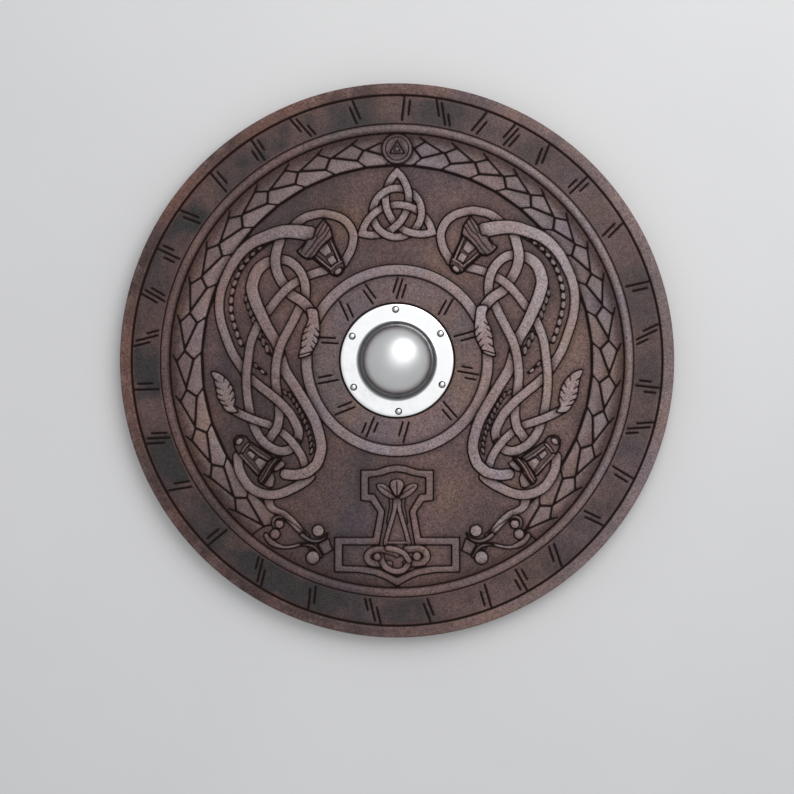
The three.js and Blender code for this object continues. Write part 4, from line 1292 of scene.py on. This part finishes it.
# ---- finishes ----
class Wiring:
    """A node tree being wired. Each call adds a node, fills its sockets and gives back an output."""

    def __init__(self, tree):
        self.tree = tree

    def fill(self, node, sockets):
        """Sets or links a node's sockets, which are given by name or number."""
        for key, value in sockets.items():
            if isinstance(value, bpy.types.NodeSocket):
                self.tree.links.new(value, node.inputs[key])
            else:
                node.inputs[key].default_value = value

    def add(self, kind, sockets=None, out=0, **settings):
        """A node of a kind, with its settings and its sockets."""
        node = self.tree.nodes.new(kind)
        for key, value in settings.items():
            setattr(node, key, value)
        self.fill(node, sockets or {})
        return node.outputs[out] if node.outputs else None

    def math(self, operation, a, b=0.0, clamp=False):
        """One operation on two values."""
        return self.add("ShaderNodeMath", {0: a, 1: b}, operation=operation, use_clamp=clamp)

    def plus(self, a, b, clamp=False):
        """The sum of two values."""
        return self.math("ADD", a, b, clamp)

    def times(self, a, b, clamp=False):
        """The product of two values."""
        return self.math("MULTIPLY", a, b, clamp)

    def mix(self, factor, a, b, blend="MIX"):
        """A colour between a and b."""
        sockets = {0: factor, 6: a, 7: b}
        return self.add("ShaderNodeMix", sockets, out=2, data_type="RGBA", blend_type=blend)

    def spread(self, value, low, high, to_low=0.0, to_high=1.0):
        """A value's range carried to another range, and kept inside it."""
        sockets = {"Value": value, "From Min": low, "From Max": high, "To Min": to_low, "To Max": to_high}
        return self.add("ShaderNodeMapRange", sockets)

    def between(self, mask, at_none, at_full):
        """One number where the mask is 0, another where it is 1, and evenly between them."""
        return self.spread(mask, 0.0, 1.0, at_none, at_full)

    def axes(self, vector):
        """The three parts of a vector."""
        return self.add("ShaderNodeSeparateXYZ", {0: vector}).node.outputs

    def noise(self, vector, scale, detail=3.0, roughness=0.55):
        """Cloudy noise between 0 and 1."""
        sockets = {"Vector": vector, "Scale": scale, "Detail": detail, "Roughness": roughness}
        return self.add("ShaderNodeTexNoise", sockets, normalize=True)

    def scaled(self, vector, scale):
        """The coordinates stretched along the axes."""
        return self.add("ShaderNodeMapping", {"Vector": vector, "Scale": scale})

    def moved(self, vector, by):
        """The coordinates shifted, so that the same noise gives another pattern."""
        return self.add("ShaderNodeMapping", {"Vector": vector, "Location": by})

    def layer(self, name):
        """One of the mesh's own layers."""
        return self.add("ShaderNodeAttribute", out=2, attribute_name=name)

    def group(self, tree, sockets):
        """A shared effect, placed with its own values. Gives back all its outputs."""
        node = self.tree.nodes.new("ShaderNodeGroup")
        node.node_tree = tree
        self.fill(node, sockets)
        return node.outputs


def effect(name, inputs, outputs):
    """An empty node group with named sockets: its wiring, what comes in, and a call that ends it."""
    tree = bpy.data.node_groups.new(name, "ShaderNodeTree")
    for label, kind in inputs:
        tree.interface.new_socket(label, in_out="INPUT", socket_type=kind)
    for label in outputs:
        tree.interface.new_socket(label, in_out="OUTPUT", socket_type="NodeSocketFloat")
    into = tree.nodes.new("NodeGroupInput").outputs
    out = tree.nodes.new("NodeGroupOutput").inputs

    def end(**values):
        """Links the group's outputs and gives back the group."""
        for label, socket in values.items():
            tree.links.new(socket, out[label])
        return tree
    return Wiring(tree), into, end


VECTOR = "NodeSocketVector"
VALUE = "NodeSocketFloat"


def wood_figure():
    """Wood grain along Y: streaks of stretched noise, bent by a slower noise, with fine open pores."""
    w, into, end = effect("wood figure", (("Vector", VECTOR), ("Fineness", VALUE)), ("Figure", "Height"))
    bend = w.noise(into["Vector"], scale=6.0, detail=1.0)
    shift = w.add("ShaderNodeCombineXYZ", {0: w.times(bend, 0.02)})
    bent = w.add("ShaderNodeVectorMath", {0: into["Vector"], 1: shift}, operation="ADD")
    streak = w.noise(w.scaled(bent, (1.0, 0.045, 0.35)), into["Fineness"], detail=5.0, roughness=0.6)
    pore = w.noise(w.scaled(bent, (4.0, 0.12, 1.0)), into["Fineness"], detail=2.0, roughness=0.5)
    height = w.math("SUBTRACT", streak, w.times(w.spread(pore, 0.62, 0.75), 0.5))
    return end(Figure=streak, Height=height)


def speckle():
    """Fine sandy speckle, two sizes of noise together."""
    w, into, end = effect("speckle", (("Vector", VECTOR), ("Size", VALUE)), ("Grains",))
    fine = w.noise(into["Vector"], into["Size"], detail=2.0, roughness=0.7)
    coarse = w.noise(into["Vector"], w.times(into["Size"], 0.33), detail=2.0, roughness=0.6)
    both_sizes = w.plus(w.times(fine, 0.75), w.times(coarse, 0.25))
    return end(Grains=w.spread(both_sizes, 0.36, 0.64))


def rubbed():
    """Wear: a mask broken up by noise, so that it comes and goes along an edge."""
    w, into, end = effect("rubbed", (("Vector", VECTOR), ("Edge", VALUE), ("Break", VALUE)), ("Worn",))
    patch = w.noise(into["Vector"], into["Break"], detail=4.0, roughness=0.65)
    worn = w.times(into["Edge"], w.spread(patch, 0.42, 0.62))
    return end(Worn=worn)


def turned_steel():
    """Spun metal: fine rings about the axis, hair scratches and faint smears."""
    sockets = (("Vector", VECTOR), ("Polish", VALUE))
    w, into, end = effect("turned steel", sockets, ("Height", "Roughness", "Tint"))
    x, y, _ = w.axes(into["Vector"])
    radius = w.math("SQRT", w.plus(w.times(x, x), w.times(y, y)))
    rings = w.noise(w.add("ShaderNodeCombineXYZ", {0: radius}), scale=1500.0, detail=3.0, roughness=0.7)
    scratch = w.noise(w.scaled(into["Vector"], (1.0, 0.06, 1.0)), scale=900.0, detail=2.0, roughness=0.6)
    smear = w.noise(into["Vector"], scale=45.0, detail=3.0, roughness=0.6)
    height = w.plus(rings, w.times(scratch, 0.5))
    rough = w.plus(into["Polish"], w.spread(smear, 0.35, 0.75, 0.0, 0.1))
    rough = w.plus(rough, w.spread(rings, 0.5, 0.9, 0.0, 0.06))
    return end(Height=height, Roughness=rough, Tint=smear)


FIGURE = wood_figure()
SPECKLE = speckle()
RUBBED = rubbed()
STEEL = turned_steel()


def begin(name):
    """Starts a material: the material, its wiring and the place on the object."""
    material = bpy.data.materials.new(name)
    material.use_nodes = True
    material.node_tree.nodes.clear()
    w = Wiring(material.node_tree)
    return material, w, w.add("ShaderNodeTexCoord", out="Object")


def finish(w, colour, roughness, height, depth, distance, coat=0.0, **values):
    """Ends a material: the shader with its colour, roughness, coat and a bump."""
    normal = w.add("ShaderNodeBump", {"Height": height, "Strength": depth, "Distance": distance})
    sockets = {"Base Color": colour, "Roughness": roughness, "Coat Weight": coat, "Normal": normal}
    shader = w.add("ShaderNodeBsdfPrincipled", sockets | values)
    w.add("ShaderNodeOutputMaterial", {"Surface": shader})


GROUND_COOL = (0.062, 0.044, 0.048, 1)
GROUND_MID = (0.114, 0.070, 0.067, 1)
GROUND_WARM = (0.184, 0.111, 0.097, 1)
RUBBED_COOL = (0.358, 0.290, 0.302, 1)
RUBBED_WARM = (0.300, 0.210, 0.198, 1)
PAINTED_SHADE_BROWN = (0.047, 0.025, 0.019, 1)
STAIN_DARK = (0.034, 0.031, 0.033, 1)
CUT_DARK = (0.0110, 0.0050, 0.0042, 1)
WORN_WOOD = (0.30, 0.21, 0.19, 1)
# Painted shade on the left of the board: a warmer, darker tint there, and more of it on the rim.
SHADED_SIDE_TINT = (1.0, 0.93, 0.90, 1)
SHADED_RIM_TINT = (0.95, 0.81, 0.74, 1)
COOL_PATCH = (0.90, 0.96, 1.10, 1)
OLIVE_PATCH = (1.02, 1.01, 0.90, 1)
COOL_SHIFT = (0.7, 0.2, 0.0)
OLIVE_SHIFT = (0.1, 0.9, 0.0)
# Places in metres: across the board from the painted shade on the left to the lit right, out on to the rim,
# and up from the back.
SHADED_TO_LIT = (-0.14, 0.20)
ON_RIM = (0.283, 0.286)
ABOVE_BACK = (0.001, 0.006)
BACK_GRAIN = 3.5
# The range of a value over which each colour comes in.
CUT_RANGE = (0.27, 0.68)
MID_RANGE = (0.36, 0.50)
WARM_RANGE = (0.50, 0.68)
TINT_RANGE = (0.38, 0.62)
COOL_RANGE = (0.52, 0.68)
OLIVE_RANGE = (0.54, 0.70)
FIGURE_RANGE = (0.35, 0.65)
# What each thing is where its mask is 0 and where it is 1.
STREAK = (-0.05, 0.05)
# Painted shade on the left of the board: there the cloud is darker, the bands are wiped less light and the
# stain is darker.
CLOUD_BY_SHADED_SIDE = (0.04, -0.04)
WIPED_BY_SHADED_SIDE = (0.97, 0.47)
STAINED_BY_SHADED_SIDE = (0.50, 1.15)
TONE_BY_GRAINS = (0.40, 1.60)
ROUGH_BY_GRAINS = (0.50, 0.66)
COAT_BY_LIT = (0.20, 0.70)
SHADE_MOST = 0.85
WEAR_MOST = 0.35
ROUGHER_CUT = 0.3
BOARD_FIXED = {"Specular IOR Level": 0.16, "Coat Roughness": 0.42}


def carved_wood():
    """The board's finish: brown stain that is uneven like hand rubbing, wiped lighter on the raised bands,
    with painted shade beside and under them and nearly black in the cuts, with sandy speckle, wear on the
    rim and a painted highlight along the step to the rim. It is painted darker towards the left of the
    board, as painted shade for light that comes from the right, and the back shows more of the grain."""
    material, w, place = begin("carved_wood")
    cut = w.spread(w.layer("cut"), *CUT_RANGE)
    lit = w.layer("lit")
    shade = w.layer("shade")
    x, _, z = w.axes(place)
    # Painted shade: 1 at the left of the board, 0 at the right, where the light falls.
    shaded_side = w.spread(x, *SHADED_TO_LIT, 1.0, 0.0)
    plainer = w.spread(z, *ABOVE_BACK, BACK_GRAIN, 1.0)
    figure = w.group(FIGURE, {"Vector": place, "Fineness": 160.0})
    grains = w.group(SPECKLE, {"Vector": place, "Size": 740.0})["Grains"]
    worn = w.group(RUBBED, {"Vector": place, "Edge": w.layer("edge"), "Break": 70.0})["Worn"]
    cloud = w.plus(w.noise(place, scale=9.0, detail=3.0, roughness=0.6), w.between(shaded_side, *CLOUD_BY_SHADED_SIDE))
    colour = w.mix(w.spread(cloud, *MID_RANGE), GROUND_COOL, GROUND_MID)
    colour = w.mix(w.spread(cloud, *WARM_RANGE), colour, GROUND_WARM)
    streak = w.times(w.spread(figure["Figure"], *FIGURE_RANGE, *STREAK), plainer)
    tint = w.plus(w.noise(place, scale=17.0, detail=2.0, roughness=0.5), streak)
    rubbed_colour = w.mix(w.spread(tint, *TINT_RANGE), RUBBED_COOL, RUBBED_WARM)
    wiped = w.times(lit, w.between(shaded_side, *WIPED_BY_SHADED_SIDE), True)
    colour = w.mix(wiped, colour, rubbed_colour)
    # Painted shade beside and under the raised bands, and in the hollow inside the moulding.
    colour = w.mix(w.times(shade, SHADE_MOST), colour, PAINTED_SHADE_BROWN)
    stained = w.times(w.layer("stain"), w.between(shaded_side, *STAINED_BY_SHADED_SIDE), True)
    colour = w.mix(stained, colour, STAIN_DARK)
    cool = w.spread(w.noise(w.moved(place, COOL_SHIFT), scale=13.0, detail=2.0), *COOL_RANGE)
    olive = w.spread(w.noise(w.moved(place, OLIVE_SHIFT), scale=16.0, detail=2.0), *OLIVE_RANGE)
    colour = w.mix(cool, colour, COOL_PATCH, "MULTIPLY")
    colour = w.mix(olive, colour, OLIVE_PATCH, "MULTIPLY")
    # Painted shade on the left of the board, and more on its rim.
    colour = w.mix(shaded_side, colour, SHADED_SIDE_TINT, "MULTIPLY")
    radius = w.add("ShaderNodeVectorMath", {0: place}, out=1, operation="LENGTH")
    shaded_rim = w.times(shaded_side, w.spread(radius, *ON_RIM))
    colour = w.mix(shaded_rim, colour, SHADED_RIM_TINT, "MULTIPLY")
    colour = w.mix(w.times(worn, WEAR_MOST), colour, WORN_WOOD)
    tone = w.plus(w.between(grains, *TONE_BY_GRAINS), streak)
    colour = w.mix(1.0, colour, w.add("ShaderNodeCombineColor", {0: tone, 1: tone, 2: tone}), "MULTIPLY")
    colour = w.mix(cut, colour, CUT_DARK)
    rough = w.plus(w.between(grains, *ROUGH_BY_GRAINS), w.times(cut, ROUGHER_CUT), True)
    clear = w.math("SUBTRACT", 1.0, w.math("MAXIMUM", cut, shade))
    coat = w.times(clear, w.between(lit, *COAT_BY_LIT))
    height = w.plus(w.times(grains, 0.6), w.times(figure["Height"], 0.4))
    finish(w, colour, rough, height, depth=0.5, distance=0.0005, coat=coat, **BOARD_FIXED)
    return material


GRIP_PALE = (0.19, 0.105, 0.060, 1)
GRIP_DARK = (0.085, 0.043, 0.026, 1)
# Along the grip from its middle, in metres, the dark of the hand goes from this much to nothing.
HELD_PLACE = (0.03, 0.055)
HELD_MOST = 0.55


def grip_wood():
    """The grip's finish: a plainer oiled wood with its grain along the bar, darker where a hand has held
    it."""
    material, w, place = begin("grip_wood")
    along = w.add("ShaderNodeMapping", {"Vector": place, "Rotation": (0.0, 0.0, math.pi / 2)})
    figure = w.group(FIGURE, {"Vector": along, "Fineness": 240.0})
    grains = w.group(SPECKLE, {"Vector": place, "Size": 900.0})["Grains"]
    x, _, _ = w.axes(place)
    held = w.spread(w.math("ABSOLUTE", x), *HELD_PLACE, HELD_MOST, 0.0)
    tone = w.plus(w.spread(figure["Figure"], 0.3, 0.7), held, True)
    colour = w.mix(tone, GRIP_PALE, GRIP_DARK)
    rough = w.math("SUBTRACT", w.between(grains, 0.5, 0.65), w.times(held, 0.25))
    finish(w, colour, rough, figure["Height"], depth=0.3, distance=0.0004, **{"Specular IOR Level": 0.4})
    return material


PAINTED_DARK_REFLECTION = (0.10, 0.105, 0.11, 1)
WORN_ROUGHER = 0.12


def steel(name, light, dark, polish, depth, wear):
    """A steel finish: turned rings and scratches, a tint that drifts a little, duller rubbed patches, and
    a painted dark reflection where the mesh's layer asks for it."""
    material, w, place = begin(name)
    made = w.group(STEEL, {"Vector": place, "Polish": polish})
    worn = w.group(RUBBED, {"Vector": place, "Edge": 1.0, "Break": 130.0})["Worn"]
    tone = w.times(w.spread(made["Tint"], 0.3, 0.7), w.plus(wear, w.times(worn, wear)))
    colour = w.mix(tone, light, dark)
    # Painted dark reflection.
    colour = w.mix(w.layer("dark_reflection"), colour, PAINTED_DARK_REFLECTION)
    rough = w.plus(made["Roughness"], w.times(worn, wear * WORN_ROUGHER))
    rough = w.plus(rough, w.layer("satin"), True)
    finish(w, colour, rough, made["Height"], depth, distance=0.0001, Metallic=1.0)
    return material


FLOOR_LIGHT = (0.80, 0.80, 0.80, 1)
FLOOR_DARK = (0.77, 0.77, 0.775, 1)


def floor_finish():
    """A plain pale floor, matt, with a faint unevenness."""
    material, w, place = begin("pale_floor")
    colour = w.mix(w.spread(w.noise(place, scale=3.0, detail=3.0), 0.3, 0.7), FLOOR_LIGHT, FLOOR_DARK)
    height = w.noise(place, scale=220.0, detail=3.0)
    finish(w, colour, 0.7, height, depth=0.05, distance=0.0005, **{"Specular IOR Level": 0.2})
    return material


# ---- the shield ----
def add(piece, node, material):
    """Gives a piece its finish, puts it under the root body and hides the node that it stands for."""
    piece.data.materials.clear()
    piece.data.materials.append(material)
    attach(piece, "root")
    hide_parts(node)
    return piece


BRIGHT = (0.865, 0.87, 0.875, 1)
WORN_BRIGHT = (0.78, 0.78, 0.78, 1)
RIVET_LIGHT = (0.86, 0.86, 0.85, 1)
RIVET_DARK = (0.70, 0.70, 0.69, 1)
ROVE_LIGHT = (0.50, 0.49, 0.47, 1)
ROVE_DARK = (0.32, 0.31, 0.30, 1)
IRON_LIGHT = (0.22, 0.21, 0.20, 1)
IRON_DARK = (0.11, 0.10, 0.09, 1)
boss_steel = steel("boss_steel", BRIGHT, WORN_BRIGHT, polish=0.13, depth=0.10, wear=0.5)
rivet_steel = steel("rivet_steel", RIVET_LIGHT, RIVET_DARK, polish=0.16, depth=0.12, wear=0.6)
rove_steel = steel("rove_steel", ROVE_LIGHT, ROVE_DARK, polish=0.34, depth=0.3, wear=0.9)
nail_iron = steel("nail_iron", IRON_LIGHT, IRON_DARK, polish=0.42, depth=0.5, wear=1.0)

add(make_board(), "board", carved_wood())
add(make_boss(), "boss", boss_steel)
add(make_grip(), "grip", grip_wood())
for k, at in enumerate(RIVETS, 1):
    add(make_rivet(f"rivet_{k}", at), f"boss_rivet_{k}", rivet_steel)
    add(make_rove(f"washer_{k}", at), f"rove_{k}", rove_steel)
for k, at in enumerate(NAILS, 1):
    add(make_nail(f"nail_{k}", at), f"grip_nail_{k}", nail_iron)

# ---- the floor, the light and the camera ----
FLOOR_HALF = 4000.0
FLOOR_Z = -0.3
corners = ((-1, -1), (1, -1), (1, 1), (-1, 1))
floor = mesh_of("floor", [(FLOOR_HALF * x, FLOOR_HALF * y, FLOOR_Z) for x, y in corners], [(0, 1, 2, 3)])
floor.data.materials.append(floor_finish())

# Soft round lights: the place, the radius and how bright the face is.
LIGHTS = {
    "sky": ((0.42, 0.62, 3.0), 1.75, 0.28),
    "core": ((0.36, 0.50, 2.95), 1.1, 0.34),
    "key": ((0.50, 0.74, 1.32), 0.66, 2.10),
}
WORLD_COLOUR = (0.97, 0.98, 1.0, 1)
WORLD_STRENGTH = 0.50
CAMERA_AT = (-0.0001, -0.0396, 2.0505)
CAMERA_LENS = 85.0
CAMERA_SENSOR = 36.0


def soft_light(name, place, radius, brightness):
    """A round soft light that faces the middle of the shield. Its power is its face's brightness times the
    square of pi times its radius."""
    lamp = bpy.data.lights.new(name, "AREA")
    lamp.shape = "ELLIPSE"
    lamp.size = 2 * radius
    lamp.size_y = 2 * radius
    lamp.energy = brightness * (math.pi * radius) ** 2
    light = bpy.data.objects.new(name, lamp)
    x, y, z = place
    light.location = place
    light.rotation_euler = (math.atan2(-y, math.hypot(x, z)), math.atan2(x, z), 0.0)
    bpy.context.scene.collection.objects.link(light)


for name, (place, radius, brightness) in LIGHTS.items():
    soft_light(name, place, radius, brightness)

world = bpy.data.worlds.new("studio")
world.use_nodes = True
world.node_tree.nodes["Background"].inputs["Color"].default_value = WORLD_COLOUR
world.node_tree.nodes["Background"].inputs["Strength"].default_value = WORLD_STRENGTH
bpy.context.scene.world = world

lens = bpy.data.cameras.new("camera")
lens.lens = CAMERA_LENS
lens.sensor_width = CAMERA_SENSOR
camera = bpy.data.objects.new("camera", lens)
camera.location = CAMERA_AT
bpy.context.scene.collection.objects.link(camera)
bpy.context.scene.camera = camera
